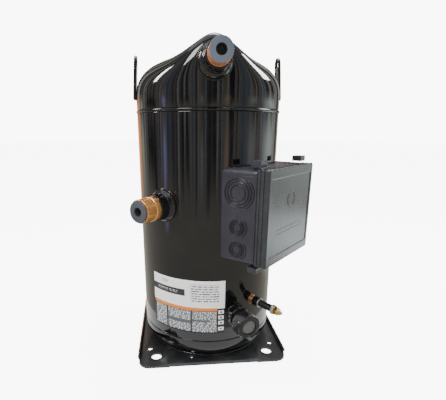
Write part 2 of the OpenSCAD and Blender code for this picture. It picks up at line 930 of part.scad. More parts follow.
// ---- discharge check valve and relief valve, on the partition plate
port_r = 12;
disc_r = 18;
disc_t = 1.2;
disc_travel = 3;
seat_z = partition_under + partition_t;
retainer_h = 9;
relief_x = 38;
relief_af = 14;
module valve_retainer() {
    color([0.5, 0.5, 0.52])
        difference() {
            translate([0, 0, seat_z])
                cylinder(r = disc_r + 5, h = retainer_h);
            translate([0, 0, seat_z - past])
                cylinder(r = disc_r + 0.4, h = past + disc_t + disc_travel + 1);
            for (a = [0:60:300])
                rotate([0, 0, a])
                    translate([disc_r - 6, 0, seat_z])
                        cylinder(r = 3.5, h = retainer_h + past);
        }
}
module valve_disc() {
    color([0.65, 0.65, 0.66])
        translate([0, 0, seat_z + face_gap])
            cylinder(r = disc_r, h = disc_t);
}
module relief_valve() {
    color([0.7, 0.6, 0.35])
        translate([relief_x, 0, seat_z])
            difference() {
                cylinder(d = relief_af / cos(30), h = 8, $fn = 6);
                translate([0, 0, 4])
                    cylinder(r = 2.5, h = 10);
            }
}

// ---- floating seal
seal_in = 36;
seal_out = 58;
seal_lip = 40;
module floating_seal() {
    base = fixed_top + 1;
    color([0.55, 0.55, 0.56])
        rotate_extrude()
            polygon([[seal_in + 0.1, base], [seal_out - 0.1, base], [seal_out - 0.1, base + 5],
                [seal_out - 2, base + 5], [seal_out - 2, base + 9], [seal_out - 0.1, base + 9],
                [seal_out - 0.1, base + 17], [seal_lip + 4, base + 17],
                [seal_lip + 4, partition_under - seal_top_gap], [seal_lip, partition_under - seal_top_gap],
                [seal_lip, base + 19], [seal_in + 0.1, base + 17]]);
}
module seal_rings() {
    base = fixed_top + 1;
    color([0.15, 0.15, 0.15])
        tube(seal_out - 0.1, seal_out - 2, base + 5, base + 9);
}

// ---- scrolls
// A point on the wrap's flank: s runs along the tangent of the base circle at angle a.
function involute(a, shift) = let (s = base_r * (a + shift) * PI / 180)
    [base_r * cos(a) + s * sin(a), base_r * sin(a) - s * cos(a)];
module wrap(from, to) {
    translate([0, 0, from])
        linear_extrude(to - from)
            polygon(concat(
                [for (a = [wrap_a0:wrap_step:wrap_a1]) involute(a, half_wrap_a)],
                [for (a = [wrap_a1:-wrap_step:wrap_a0]) involute(a, -half_wrap_a)]));
}
ear_r = 11;
bolt_r = 4;
sleeve_r = 6.5;
bolt_dirs = [45:90:315];
tower_top = orbit_top + 24;
ear_t = 15;
module at_bolts() {
    for (a = bolt_dirs)
        rotate([0, 0, a])
            translate([tower_r, 0, 0])
                children();
}
module fixed_scroll() {
    color([0.50, 0.51, 0.52])
        difference() {
            union() {
                translate([0, 0, fixed_under])
                    cylinder(r = rim_outer, h = fixed_plate_t);
                tube(rim_outer, rim_inner, orbit_top + tip_gap, fixed_under + eps);
                wrap(orbit_top + tip_gap, fixed_under + eps);
                tube(seal_in, seal_in - 6, fixed_top - eps, fixed_top + 17);
                tube(seal_out + 6, seal_out, fixed_top - eps, fixed_top + 17);
                difference() {
                    ear_blocks();
                    translate([0, 0, orbit_top])
                        cylinder(r = rim_inner + 1, h = 2 * wrap_h);
                }
            }
            translate([0, 0, fixed_under - past])
                cylinder(r = 6, h = 60);
            at_bolts()
                translate([0, 0, orbit_top])
                    cylinder(r = sleeve_r + journal_gap, h = 3 * wrap_h);
            rotate([0, 0, suction_az])
                translate([-14, -rim_outer - 6, orbit_top + tip_gap - 1])
                    cube([28, 24, 26]);
        }
}
module ear_blocks() {
    at_bolts()
        translate([0, 0, tower_top + face_gap])
            cylinder(r = ear_r, h = ear_t);
    for (a = bolt_dirs)
        rotate([0, 0, a])
            translate([rim_outer - 6, -ear_r, tower_top + face_gap])
                cube([tower_r - rim_outer + 6, 2 * ear_r, ear_t]);
}
module scroll_bolts() {
    sleeve_top = tower_top + face_gap + ear_t + float_travel + 0.4;
    color([0.3, 0.3, 0.32])
        at_bolts() {
            translate([0, 0, tower_top])
                cylinder(r = sleeve_r, h = sleeve_top - tower_top);
            translate([0, 0, sleeve_top])
                cylinder(d = 16 / cos(30), h = 8, $fn = 6);
            translate([0, 0, tower_top - 22])
                cylinder(r = bolt_r, h = 23);
        }
}
key_w = 8;
key_len = 12;
key_at = 66;
key_gap = 0.05;
ring_in = 60;
ring_out = 72;
ring_t = 7;
module orbiting_scroll() {
    color([0.47, 0.48, 0.49])
        translate([0, orbit_r, 0])
            difference() {
                union() {
                    translate([0, 0, orbit_top - orbit_plate_t])
                        cylinder(r = orbit_plate_r, h = orbit_plate_t);
                    rotate([0, 0, 180])
                        wrap(orbit_top - eps, orbit_top + wrap_h);
                    tube(hub_outer, hub_inner, well_floor + 4, orbit_top - orbit_plate_t + eps);
                }
                for (side = [-1, 1])
                    translate([0, side * (orbit_plate_r + key_at - key_len - 2 * orbit_r) / 2,
                        orbit_top - orbit_plate_t - past])
                        keyway(orbit_plate_r - key_at + key_len + 2 * orbit_r + 6);
            }
}
// The keyway is wide enough for the ring to stay behind while the scroll goes round.
module keyway(length) {
    translate([-key_w / 2 - 2 * orbit_r - 0.5, -length / 2, 0])
        cube([key_w + 4 * orbit_r + 1, length, past + 7]);
}
module hub_bearing() {
    color([0.45, 0.40, 0.33])
        translate([0, orbit_r, 0])
            tube(hub_inner, bush_r + journal_gap, well_floor + 5, thrust_z - 1);
}
module oldham_ring() {
    ring_z = thrust_z - ring_t - face_gap;
    color([0.62, 0.62, 0.63]) {
        tube(ring_out, ring_in, ring_z, ring_z + ring_t);
        for (side = [-1, 1]) {
            translate([side * key_at - key_len / 2, -key_w / 2, ring_z - 6])
                cube([key_len, key_w, 6 + eps]);
            translate([-key_w / 2, side * key_at - key_len / 2, ring_z + ring_t - eps])
                cube([key_w, key_len, 6.3]);
        }
    }
}

// ---- main bearing housing
module main_bearing_housing() {
    ring_z = thrust_z - ring_t - 2 * face_gap;
    color([0.33, 0.33, 0.34])
        difference() {
            union() {
                translate([0, 0, thrust_z - 22])
                    cylinder(r = can_inner - 6.5, h = 22);
                translate([0, 0, housing_under])
                    cylinder(r = housing_hub_r, h = thrust_z - 1 - housing_under);
                translate([0, 0, well_floor - 6])
                    cylinder(r = well_r + 8, h = 20);
                for (a = [0:90:270])
                    rotate([0, 0, a])
                        intersection() {
                            tube(can_inner, can_inner - 8, thrust_z - 22, thrust_z - 2);
                            translate([can_inner - 8, -18, 0])
                                cube([20, 36, 2 * upper_seam_z]);
                        }
                at_bolts()
                    translate([0, 0, thrust_z - 1])
                        cylinder(r = 9, h = tower_top - thrust_z + 1);
            }
            translate([0, 0, well_floor])
                cylinder(r = well_r, h = 100);
            cylinder(r = shaft_r + bearing_wall, h = 2 * upper_seam_z);
            tube(ring_out + orbit_r + 1, ring_in - orbit_r - 1, ring_z, thrust_z + past);
            for (side = [-1, 1])
                translate([side * key_at - key_len / 2 - orbit_r - 1, -key_w / 2 - key_gap, ring_z - 7])
                    cube([key_len + 2 * orbit_r + 2, key_w + 2 * key_gap, 10]);
            translate([0, 0, thrust_z])
                cylinder(r = orbit_plate_r + orbit_r + 1, h = 1.5 * wrap_h);
            at_bolts()
                translate([0, 0, tower_top - 22])
                    cylinder(r = bolt_r, h = 40);
        }
}
module main_bearing() {
    color([0.55, 0.45, 0.28])
        tube(shaft_r + bearing_wall, shaft_r + journal_gap, housing_under + 1, well_floor - 2);
}

// ---- crankshaft
module crankshaft() {
    color([0.62, 0.63, 0.65])
        difference() {
            union() {
                translate([0, 0, journal_top])
                    cylinder(r = shaft_r, h = well_floor + 1 - journal_top);
                translate([0, 0, shaft_bottom])
                    cylinder(r = lower_journal_r, h = journal_top + 1 - shaft_bottom);
                translate([0, orbit_r, well_floor])
                    cylinder(r = pin_r, h = thrust_z - 3 - well_floor);
            }
            translate([0, 0, shaft_bottom - past])
                cylinder(r = pickup_r, h = 60);
            translate([0, orbit_r - pin_r / 2 - 1, shaft_bottom + 40])
                cylinder(r = 2, h = 2 * upper_seam_z);
        }
}
module drive_bush() {
    color([0.70, 0.70, 0.68])
        translate([0, orbit_r, 0])
            tube(bush_r, pin_r, well_floor + 1.5, thrust_z - 3.5);
}
module half_ring(outer, inner, from, to) {
    intersection() {
        tube(outer, inner, from, to);
        translate([-outer, -2 * outer, from])
            cube([2 * outer, 2 * outer, to - from]);
    }
}
weight_z = stator_top + 8;
weight_h = 18;
module upper_counterweight() {
    color([0.60, 0.52, 0.30]) {
        half_ring(54, shaft_r, weight_z, weight_z + weight_h);
        tube(shaft_r + 7, shaft_r, weight_z, weight_z + weight_h);
    }
}
module rotor_core() {
    color([0.40, 0.40, 0.42])
        tube(rotor_r, shaft_r, stator_z + 4, stator_top - 4);
}
module rotor_end_rings() {
    color([0.78, 0.78, 0.80])
        for (z = [stator_z - 3, stator_top - 4])
            tube(rotor_r - 1, rotor_r - 20, z, z + 7);
}
module lower_counterweight() {
    color([0.60, 0.52, 0.30])
        rotate([0, 0, 180]) {
            half_ring(42, shaft_r, stator_z - 22, stator_z - 6);
            tube(shaft_r + 6, shaft_r, stator_z - 22, stator_z - 6);
        }
}
slot_in = rotor_r + air_gap + 5;
slot_w = 6.4;
module at_slots() {
    for (i = [0:slots - 1])
        rotate([0, 0, 360 * i / slots])
            translate([slot_in, 0, 0])
                children();
}
module stator_core() {
    color([0.30, 0.30, 0.32])
        difference() {
            tube(can_inner, rotor_r + air_gap, stator_z, stator_top);
            at_slots()
                translate([0, -slot_w / 2, stator_z - past])
                    cube([slot_depth, slot_w, core_h + 2 * past]);
            for (a = [0:60:300])
                rotate([0, 0, valve_az - 90 + a])
                    translate([can_inner - 7, -9, stator_z - past])
                        cube([20, 18, core_h + 2 * past]);
        }
}
module stator_windings() {
    color([0.70, 0.38, 0.20]) {
        at_slots()
            translate([0, -slot_w / 2, stator_z - 1])
                cube([slot_depth, slot_w, core_h + 2]);
        for (z = [stator_z - end_turn, stator_top])
            difference() {
                tube(slot_in + slot_depth + 1.5, slot_in + 4, z, z + end_turn);
                translate([0, 0, z == stator_top ? z + end_turn - 4 : z - 4])
                    tube(can_inner, slot_in + slot_depth - 4, 0, 8);
            }
    }
}

// ---- lower bearing and oil supply
pickup_r = 5;
bearing_out = lower_journal_r + 2.5;
module lower_bearing_bracket() {
    color([0.36, 0.36, 0.37])
        difference() {
            union() {
                tube(bearing_out + 7, bearing_out, hub_bottom, bracket_z + bracket_t + 4);
                tube(bearing_out + 1, pickup_r + 2, hub_bottom, washer_z);
                for (a = [0:120:240])
                    rotate([0, 0, a])
                        intersection() {
                            tube(can_inner, bearing_out + 3, bracket_z, bracket_z + bracket_t);
                            translate([0, -14, 0])
                                cube([2 * can_r, 28, upper_seam_z]);
                        }
            }
            for (a = [0:120:240])
                rotate([0, 0, a])
                    translate([can_inner - 14, 0, bracket_z - past])
                        cylinder(r = 4.5, h = 30);
        }
}
module lower_bearing() {
    color([0.55, 0.45, 0.28])
        tube(bearing_out, lower_journal_r + journal_gap, shaft_bottom + 2, bracket_z + bracket_t + 3);
}
module thrust_washer() {
    color([0.6, 0.5, 0.3])
        tube(lower_journal_r - 0.5, pickup_r + 0.8, washer_z, washer_z + thrust_washer_t);
}
module oil_pickup() {
    color([0.65, 0.65, 0.63])
        difference() {
            translate([0, 0, sump_floor + 6])
                cylinder(r = pickup_r, h = shaft_bottom + 16 - sump_floor - 6);
            translate([0, 0, sump_floor + 7.5])
                cylinder(r = pickup_r - 1.2, h = 60);
            translate([0, 0, sump_floor])
                cylinder(r = 2.5, h = 20);
        }
}
module sump_magnet() {
    color([0.25, 0.25, 0.27])
        translate([-45, 0, sump_floor])
            cylinder(r = 10, h = 6);
}

base_plate();
lower_cap();
center_shell();
top_cap();
partition_plate();
lifting_lug_left();
lifting_lug_right();
discharge_collar();
discharge_stub();
discharge_plug();
suction_collar();
suction_stub();
suction_plug();
suction_baffle();
terminal_box();
cover_gasket();
terminal_box_cover();
terminal_fence();
terminal_cup();
terminal_glass();
terminal_pins();
terminal_block();
terminal_screws();
ground_screw();
sight_glass_fitting();
sight_glass_nut();
sight_glass_seal();
sight_glass_lens();
oil_valve_base();
oil_valve_body();
oil_valve_washer();
oil_valve_core();
oil_valve_cap();
rating_label();
valve_retainer();
valve_disc();
relief_valve();
floating_seal();
seal_rings();
fixed_scroll();
scroll_bolts();
orbiting_scroll();
hub_bearing();
drive_bush();
oldham_ring();
main_bearing_housing();
main_bearing();
crankshaft();
upper_counterweight();
rotor_core();
rotor_end_rings();
lower_counterweight();
stator_core();
stator_windings();
lower_bearing_bracket();
lower_bearing();
thrust_washer();
oil_pickup();
sump_magnet();
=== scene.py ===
# %% [markdown]
# # A hermetic scroll compressor
# This lesson dresses a finished CAD model of a scroll compressor: an upright welded steel can with a
# hooded top, a square foot plate, copper stubs, a moulded terminal box and two oil fittings.
# The CAD parts keep their places. Every part that the eye meets outside gets a new skin, worked out
# with numpy as a surface of two parameters, and every part gets a procedural finish.

import json
import math

import bmesh
import bpy
import numpy as np
from mathutils import Matrix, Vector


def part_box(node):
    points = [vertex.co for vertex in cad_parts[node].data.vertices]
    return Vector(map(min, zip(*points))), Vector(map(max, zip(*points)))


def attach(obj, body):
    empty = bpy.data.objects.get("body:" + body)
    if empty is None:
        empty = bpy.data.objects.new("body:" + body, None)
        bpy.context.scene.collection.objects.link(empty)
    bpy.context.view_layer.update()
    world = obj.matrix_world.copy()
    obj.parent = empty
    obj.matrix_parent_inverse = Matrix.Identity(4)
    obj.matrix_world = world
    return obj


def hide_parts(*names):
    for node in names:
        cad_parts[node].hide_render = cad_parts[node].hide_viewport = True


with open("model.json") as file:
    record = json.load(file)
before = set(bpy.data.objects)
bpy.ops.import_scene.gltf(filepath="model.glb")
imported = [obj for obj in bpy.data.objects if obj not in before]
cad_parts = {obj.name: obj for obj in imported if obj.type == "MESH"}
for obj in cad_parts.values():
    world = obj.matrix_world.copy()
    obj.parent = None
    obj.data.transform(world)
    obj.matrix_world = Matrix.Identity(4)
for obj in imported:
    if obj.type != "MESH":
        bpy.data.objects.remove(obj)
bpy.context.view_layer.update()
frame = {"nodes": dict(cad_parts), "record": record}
MM = 0.001

# %% [markdown]
# ## The camera
# The camera stands in front, a little above the middle of the can, and looks down by sixteen
# degrees. Its place is a point, a heading and a pitch. A small lens shift frames the can without
# tilting the camera further.

# %% Camera
CAMERA_AT = (-0.0639, -0.5971, 0.37346)
HEADING = math.radians(4.89)
PITCH = math.radians(-16.29)
FOCAL_SHARE = 340.56 / 446
SENSOR = 36


def look_from(name, place, heading, pitch):
    """A camera whose axes come from two turns: the heading about Z, then the pitch about its own X."""
    data = bpy.data.cameras.new(name)
    data.sensor_width = SENSOR
    data.lens = FOCAL_SHARE * SENSOR
    data.shift_x, data.shift_y = 0.0517, 0.0667
    data.clip_end = 50
    camera = bpy.data.objects.new(name, data)
    bpy.context.scene.collection.objects.link(camera)
    upright = Matrix.Rotation(math.pi / 2 + pitch, 4, "X")
    camera.matrix_world = Matrix.Translation(place) @ Matrix.Rotation(-heading, 4, "Z") @ upright
    return camera


bpy.context.scene.camera = look_from("view_camera", CAMERA_AT, HEADING, PITCH)
print("camera lens", round(bpy.context.scene.camera.data.lens, 2), "mm")

# %% [markdown]
# ## Grids become meshes
# A surface of two parameters is an array of points in rows and columns. Four neighbours make one
# face, and a direction that closes on itself wraps round. A closed shell whose faces point inwards
# has a negative volume, so its faces are turned over. Rows that shrink to one point are merged, so
# that poles are closed.

# %% Grid helpers
def grid_faces(rows, cols, wrap_rows, wrap_cols):
    """Index quads of a grid; a wrapped direction joins its last line to its first."""
    index = np.arange(rows * cols).reshape(rows, cols)
    if wrap_rows:
        index = np.vstack([index, index[:1]])
    if wrap_cols:
        index = np.hstack([index, index[:, :1]])
    quads = [index[:-1, :-1], index[:-1, 1:], index[1:, 1:], index[1:, :-1]]
    return np.stack(quads, axis=-1).reshape(-1, 4)


def signed_volume(points, faces):
    """A sixth of the sum of the box products of each face's corners, positive when faces point out."""
    a, b, c, d = (points[faces[:, k]] for k in range(4))
    first = np.einsum("ij,ij->i", a, np.cross(b, c))
    second = np.einsum("ij,ij->i", a, np.cross(c, d))
    return (first + second).sum() / 6


def shell(grid, wrap_rows=False, wrap_cols=True):
    """Points and outward quads of one closed grid."""
    faces = grid_faces(grid.shape[0], grid.shape[1], wrap_rows, wrap_cols)
    points = grid.reshape(-1, 3)
    if signed_volume(points, faces) < 0:
        faces = faces[:, ::-1]
    return points, faces


def join(shells):
    """Several shells as one list of points and one list of faces."""
    offsets = np.cumsum([0] + [len(points) for points, _ in shells[:-1]])
    faces = np.vstack([quads + start for (_, quads), start in zip(shells, offsets)])
    return np.vstack([points for points, _ in shells]), faces


print("a tube of 3 rings of 8 points has", len(grid_faces(3, 8, False, True)), "faces")

# %% [markdown]
# ## From arrays to a piece
# Each piece is one object at the origin. It rides on a CAD body, takes its finish by the name of its
# material slot, or by a finish name given in its place, and may stand for CAD nodes, which are then
# not shown. Every finish is kept under a name, so that a piece asks for it by that name.

# %% Piece maker
made = []
FINISHES = {}


def piece(name, shells, slot, stands_for=(), body="can", sharp=38, finish=None):
    """One object out of closed shells given in millimetres, smooth up to an angle in degrees."""
    points, faces = join(shells)
    mesh = bpy.data.meshes.new(name)
    mesh.from_pydata((points * MM).tolist(), [], faces.tolist())
    work = bmesh.new()
    work.from_mesh(mesh)
    bmesh.ops.remove_doubles(work, verts=work.verts, dist=1e-7)
    work.to_mesh(mesh)
    work.free()
    mesh.materials.append(FINISHES[finish or slot])
    mesh.shade_smooth()
    mesh.set_sharp_from_angle(angle=math.radians(sharp))
    made_piece = bpy.data.objects.new(name, mesh)
    bpy.context.scene.collection.objects.link(made_piece)
    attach(made_piece, body)
    if stands_for:
        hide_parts(*stands_for)
    made.append(made_piece)
    print(name, len(mesh.polygons), "faces")
    return made_piece


def outwards(azimuth, height):
    """Maps a fitting's axes to the can's: x runs round the can, y up and z straight out."""
    a = math.radians(azimuth)
    axes = np.array([[math.cos(a), math.sin(a), 0], [0, 0, 1], [math.sin(a), -math.cos(a), 0]])
    return lambda grid: grid @ axes + np.array([0, 0, height])


def placed(spot, *grids):
    """Closed shells of several grids that wrap both ways, put in their place on the can."""
    return [shell(spot(grid), wrap_rows=True) for grid in grids]


print("straight out at 90 degrees round the can is", outwards(90, 0)(np.array([0, 0, 1.0])).round(3))

# %% [markdown]
# ## Profiles
# Turned parts are a profile of radius and height, carried round an axis. A pressed or machined part
# never has a razor edge, so each corner of a profile is eased with a short curve.

# %% Profile helpers
def eased(corners, steps=5, closed=False):
    """A chain of lines through (radius, height, ease). At each corner the curve
    (1-t)^2 a + 2t(1-t) corner + t^2 b runs between points at the ease from the corner."""
    spots = np.array([corner[:2] for corner in corners], float)
    eases = [corner[2] for corner in corners]
    t = np.linspace(0, 1, steps)[:, None]
    out = []
    for i, spot in enumerate(spots):
        ends = not closed and i in (0, len(spots) - 1)
        if ends or eases[i] == 0:
            out.append(spot[None])
            continue
        before = spots[i - 1] - spot
        after = spots[(i + 1) % len(spots)] - spot
        a = spot + before * min(0.5, eases[i] / np.linalg.norm(before))
        b = spot + after * min(0.5, eases[i] / np.linalg.norm(after))
        out.append((1 - t) ** 2 * a + 2 * t * (1 - t) * spot + t ** 2 * b)
    return np.vstack(out)


def full_turn(count):
    """Evenly spaced angles all the way round, in radians."""
    return np.linspace(0, 2 * np.pi, count, endpoint=False)


def round_axis(r, t, h):
    """Points from radius, angle and height: x = r cos t, y = r sin t, z = h."""
    return np.stack([r * np.cos(t), r * np.sin(t), h + 0 * t], axis=-1)


def turned(profile, sides=128):
    """Spins a profile of radius and height about the Z axis."""
    return round_axis(profile[:, :1], full_turn(sides), profile[:, 1:])


def bead(centre_line, radius, sides=10, ripple=0.0, pitch=3.0):
    """A round bead along a closed line: each ring lies in the plane of the normal and the
    binormal, and its radius rises and falls along the line as a weld's ripples do."""
    ahead = np.roll(centre_line, -1, 0) - np.roll(centre_line, 1, 0)
    ahead /= np.linalg.norm(ahead, axis=1, keepdims=True)
    side = np.cross(ahead, centre_line.mean(0) - centre_line)
    side /= np.linalg.norm(side, axis=1, keepdims=True)
    up = np.cross(side, ahead)
    steps = np.linalg.norm(np.roll(centre_line, -1, 0) - centre_line, axis=1)
    phase = np.cumsum(steps) / pitch * 2 * np.pi
    size = radius * (1 + ripple * np.abs(np.sin(phase / 2)))[:, None, None]
    t = full_turn(sides)[None, :, None]
    return centre_line[:, None] + size * (np.cos(t) * side[:, None] + np.sin(t) * up[:, None])


def circle_line(radius, height, count=240):
    """A closed circle of points about the can's axis."""
    return round_axis(radius, full_turn(count), height)


def sleeve(outer, inner, low, high, eases, sides):
    """A turned ring: outer wall, top, bore and bottom, with its four eases in the same order."""
    corners = ((outer, low), (outer, high), (inner, high), (inner, low))
    chain = [(*corner, ease) for corner, ease in zip(corners, eases)]
    return turned(eased(chain, closed=True), sides)


print("rows, sides and axes of a sleeve:", sleeve(10, 8, 0, 5, (1, 1, 1, 1), 64).shape)

# %% [markdown]
# ## Shader maths as Python
# A finish is a small network. Writing it as expressions keeps it readable, so one class wraps a
# socket and gives it the usual operators. Another makes any node from its type, its settings and
# the values of its sockets.

# %% Shader kit
class Value:
    """A number that varies over a surface; arithmetic on it adds Math nodes."""

    def __init__(self, kit, socket):
        self.kit = kit
        self.socket = socket


def overload(symbol, operation, swapped=False):
    """Gives Value one operator: a Math node with its two operands in order, or swapped."""
    def apply(self, other):
        first, second = (other, self) if swapped else (self, other)
        return self.kit.node("Math", {"operation": operation}, {0: first, 1: second})

    setattr(Value, "__" + symbol + "__", apply)


for symbol, operation in (("add", "ADD"), ("sub", "SUBTRACT"), ("mul", "MULTIPLY")):
    overload(symbol, operation)
    overload("r" + symbol, operation, swapped=True)
overload("gt", "GREATER_THAN")
overload("lt", "LESS_THAN")


def socket_name(word):
    """base_color becomes Base Color, as the shader's sockets are called."""
    return word.replace("_", " ").title().replace("Ior", "IOR")


class Finish:
    """A material under construction, with short calls for the nodes that finishes share."""

    def __init__(self, name, **constants):
        self.material = bpy.data.materials.new(name)
        self.material.use_nodes = True
        self.tree = self.material.node_tree
        self.shader = self.tree.nodes["Principled BSDF"]
        self.place = self.node("TexCoord", {}, {}, "Object")
        for socket, constant in constants.items():
            self.shader.inputs[socket_name(socket)].default_value = constant

    def node(self, kind, settings, inputs, output=0):
        """Any node: settings are attributes, set first, and inputs are values or links."""
        made_node = self.tree.nodes.new("ShaderNode" + kind)
        for name, setting in settings.items():
            setattr(made_node, name, setting)
        for key, value in inputs.items():
            if isinstance(value, Value):
                self.tree.links.new(value.socket, made_node.inputs[key])
            else:
                made_node.inputs[key].default_value = value
        return Value(self, made_node.outputs[output])

    def noise(self, scale, detail=2.0, rough=0.5, place=None):
        inputs = {"Vector": place or self.place, "Scale": scale, "Detail": detail, "Roughness": rough}
        return self.node("TexNoise", {}, inputs)

    def ramp(self, value, low, high, from_value=0.0, to_value=1.0):
        """A smooth step from from_value at low to to_value at high."""
        settings = {"interpolation_type": "SMOOTHSTEP"}
        inputs = {0: value, 1: low, 2: high, 3: from_value, 4: to_value}
        return self.node("MapRange", settings, inputs)

    def mix(self, mask, first, second):
        """A blend of two colours by a mask."""
        pair = {"Factor": mask, 6: first, 7: second}
        return self.node("Mix", {"data_type": "RGBA"}, pair, 2)

    def feed(self, **links):
        """Links values to the shader's sockets by name."""
        for name, value in links.items():
            self.tree.links.new(value.socket, self.shader.inputs[socket_name(name)])
        return self

    def relief(self, height, depth, strength=1.0):
        """A bump from a height that varies, in metres of depth."""
        bump = self.node("Bump", {}, {"Strength": strength, "Distance": depth, "Height": height})
        return self.feed(normal=bump)


def rgb(r, g, b):
    """A colour with full alpha."""
    return (r, g, b, 1.0)


print("coat_roughness names the socket", socket_name("coat_roughness"))

# %% [markdown]
# ## Black paint
# The can is dipped in a thin black coat that stays glossy. What tells it from plastic is the soft
# waviness of deep-drawn steel under it, a fine orange peel, and a little dust that dulls it in
# patches. So the colour and roughness drift with two noises and the bump adds a third.

# %% Paint finishes
def painted(name, base, dusty, rough_low, rough_high, peel):
    """Glossy paint: dust mixes in a paler colour and dulls the gloss."""
    paint = Finish(name, coat_weight=0.35, coat_roughness=0.06, ior=1.5)
    dust = paint.ramp(paint.noise(9, 5, 0.6), 0.45, 0.75)
    specks = paint.ramp(paint.noise(420, 2), 0.68, 0.74)
    grime = dust * 0.5 + specks * 0.25
    paint.feed(
        base_color=paint.mix(grime, base, dusty),
        roughness=paint.ramp(grime, 0, 0.7, rough_low, rough_high),
    )
    waves = paint.noise(14, 1) * 0.75
    skin = paint.noise(260, 1) * peel
    paint.relief(waves + skin, 0.0009, 0.35)
    return paint.material


PAINTS = {
    "can_paint": (rgb(0.003, 0.003, 0.004), rgb(0.012, 0.0115, 0.011), 0.07, 0.2, 0.05),
    "nut_paint": (rgb(0.004, 0.004, 0.005), rgb(0.018, 0.018, 0.018), 0.12, 0.3, 0.08),
    "foot_paint": (rgb(0.014, 0.016, 0.018), rgb(0.10, 0.105, 0.105), 0.38, 0.62, 0.12),
}
for name, values in PAINTS.items():
    FINISHES[name] = painted(name, *values)
print("paints:", *PAINTS)

# %% [markdown]
# ## Copper, brass and plain metals
# Tube is drawn and then spun in a lathe to be cleaned, so fine rings run round it, and brazing
# leaves brown and pink tints. The rings come from a noise read along the tube's own axis only.

# %% Metal finishes
SUCTION_TURN, DISCHARGE_TURN, SIGHT_TURN, VALVE_TURN, BOX_TURN = -40.5, -1.3, 17.9, 33.9, 45.5


def axis_of(azimuth):
    """The direction straight out of the can at an azimuth in degrees."""
    a = math.radians(azimuth)
    return (math.sin(a), -math.cos(a), 0)


def metal(name, colour, tint, rough, axis=(0, 0, 1), rings=900, ring_depth=0.00002, metallic=1.0):
    """Metal with turning rings along an axis and a tint that comes and goes in patches."""
    bare = Finish(name, metallic=metallic)
    along = bare.node("VectorMath", {"operation": "DOT_PRODUCT"}, {0: bare.place, 1: axis}, 1)
    marks = bare.node("TexNoise", {"noise_dimensions": "1D"}, {"W": along, "Scale": rings, "Detail": 3.0})
    stain = bare.ramp(bare.noise(40, 4, 0.6), 0.4, 0.72)
    bare.feed(
        base_color=bare.mix(stain, colour, tint),
        roughness=rough + (marks - 0.5) * 0.12 + stain * 0.1,
    )
    bare.relief(marks, ring_depth)
    return bare.material


SUCTION, DISCHARGE, VALVE, BOX = (axis_of(a) for a in (SUCTION_TURN, DISCHARGE_TURN, VALVE_TURN, BOX_TURN))
METALS = {
    "suction_copper": (rgb(0.98, 0.50, 0.18), rgb(0.90, 0.36, 0.10), 0.22, dict(axis=SUCTION, metallic=0.8)),
    "discharge_copper": (
        rgb(0.85, 0.38, 0.17),
        rgb(0.75, 0.29, 0.11),
        0.34,
        dict(axis=DISCHARGE, metallic=0.75),
    ),
    "brass": (rgb(0.80, 0.56, 0.20), rgb(0.55, 0.34, 0.12), 0.25, dict(axis=VALVE)),
    "zinc": (rgb(0.72, 0.72, 0.70), rgb(0.50, 0.50, 0.47), 0.3, dict(axis=VALVE)),
    "fitting_copper": (rgb(0.45, 0.24, 0.13), rgb(0.20, 0.11, 0.07), 0.45, dict(axis=VALVE)),
    "bare_steel": (rgb(0.46, 0.46, 0.47), rgb(0.30, 0.29, 0.27), 0.38, {}),
    "shaft_steel": (rgb(0.56, 0.57, 0.59), rgb(0.44, 0.44, 0.45), 0.18, dict(rings=1600)),
    "bearing_lining": (rgb(0.48, 0.39, 0.24), rgb(0.34, 0.27, 0.17), 0.4, {}),
    "weight_brass": (rgb(0.60, 0.48, 0.24), rgb(0.40, 0.31, 0.16), 0.45, dict(ring_depth=0.00006)),
    "ring_alloy": (rgb(0.68, 0.68, 0.69), rgb(0.52, 0.52, 0.52), 0.42, dict(rings=500)),
    "end_ring": (rgb(0.74, 0.74, 0.76), rgb(0.58, 0.58, 0.58), 0.5, dict(rings=300)),
    "pin_metal": (rgb(0.62, 0.50, 0.34), rgb(0.42, 0.33, 0.22), 0.25, dict(axis=BOX)),
    "lamination": (rgb(0.27, 0.27, 0.29), rgb(0.18, 0.17, 0.17), 0.4, dict(rings=2000, ring_depth=0.0002)),
    "green_zinc": (rgb(0.10, 0.34, 0.12), rgb(0.08, 0.22, 0.08), 0.35, dict(axis=BOX)),
}
for name, (colour, tint, rough, others) in METALS.items():
    FINISHES[name] = metal(name, colour, tint, rough, **others)
print("metals:", *METALS)

# %% [markdown]
# ## Cast iron
# Scrolls and housings are grey iron. Machined faces show a fine directionless grain with darker
# graphite pits; the rough cast faces are lumpy as well.

# %% Iron finishes
def iron(name, colour, pits, rough, lumps):
    """Grey iron: small dark pits in the colour, lumps and pits in the relief."""
    cast = Finish(name, metallic=1.0)
    grain = cast.noise(700, 4, 0.65)
    pit = cast.ramp(grain, 0.36, 0.46, 1.0, 0.0)
    cast.feed(
        base_color=cast.mix(pit, colour, pits),
        roughness=rough + pit * 0.2 + (cast.noise(60, 3) - 0.5) * 0.15,
    )
    cast.relief(cast.noise(190, 3) * lumps - pit * 0.3, 0.0004)
    return cast.material


IRONS = {
    "scroll_iron": (rgb(0.42, 0.43, 0.44), rgb(0.16, 0.16, 0.17), 0.3, 0.1),
    "housing_iron": (rgb(0.24, 0.24, 0.25), rgb(0.10, 0.10, 0.10), 0.5, 0.9),
}
for name, values in IRONS.items():
    FINISHES[name] = iron(name, *values)
print("irons:", *IRONS)

# %% [markdown]
# ## Moulded plastic and rubber
# Moulded parts carry a fine grain from the tool, which softens their gloss. Rubber is duller still,
# with a bloom that pales it in clouds.

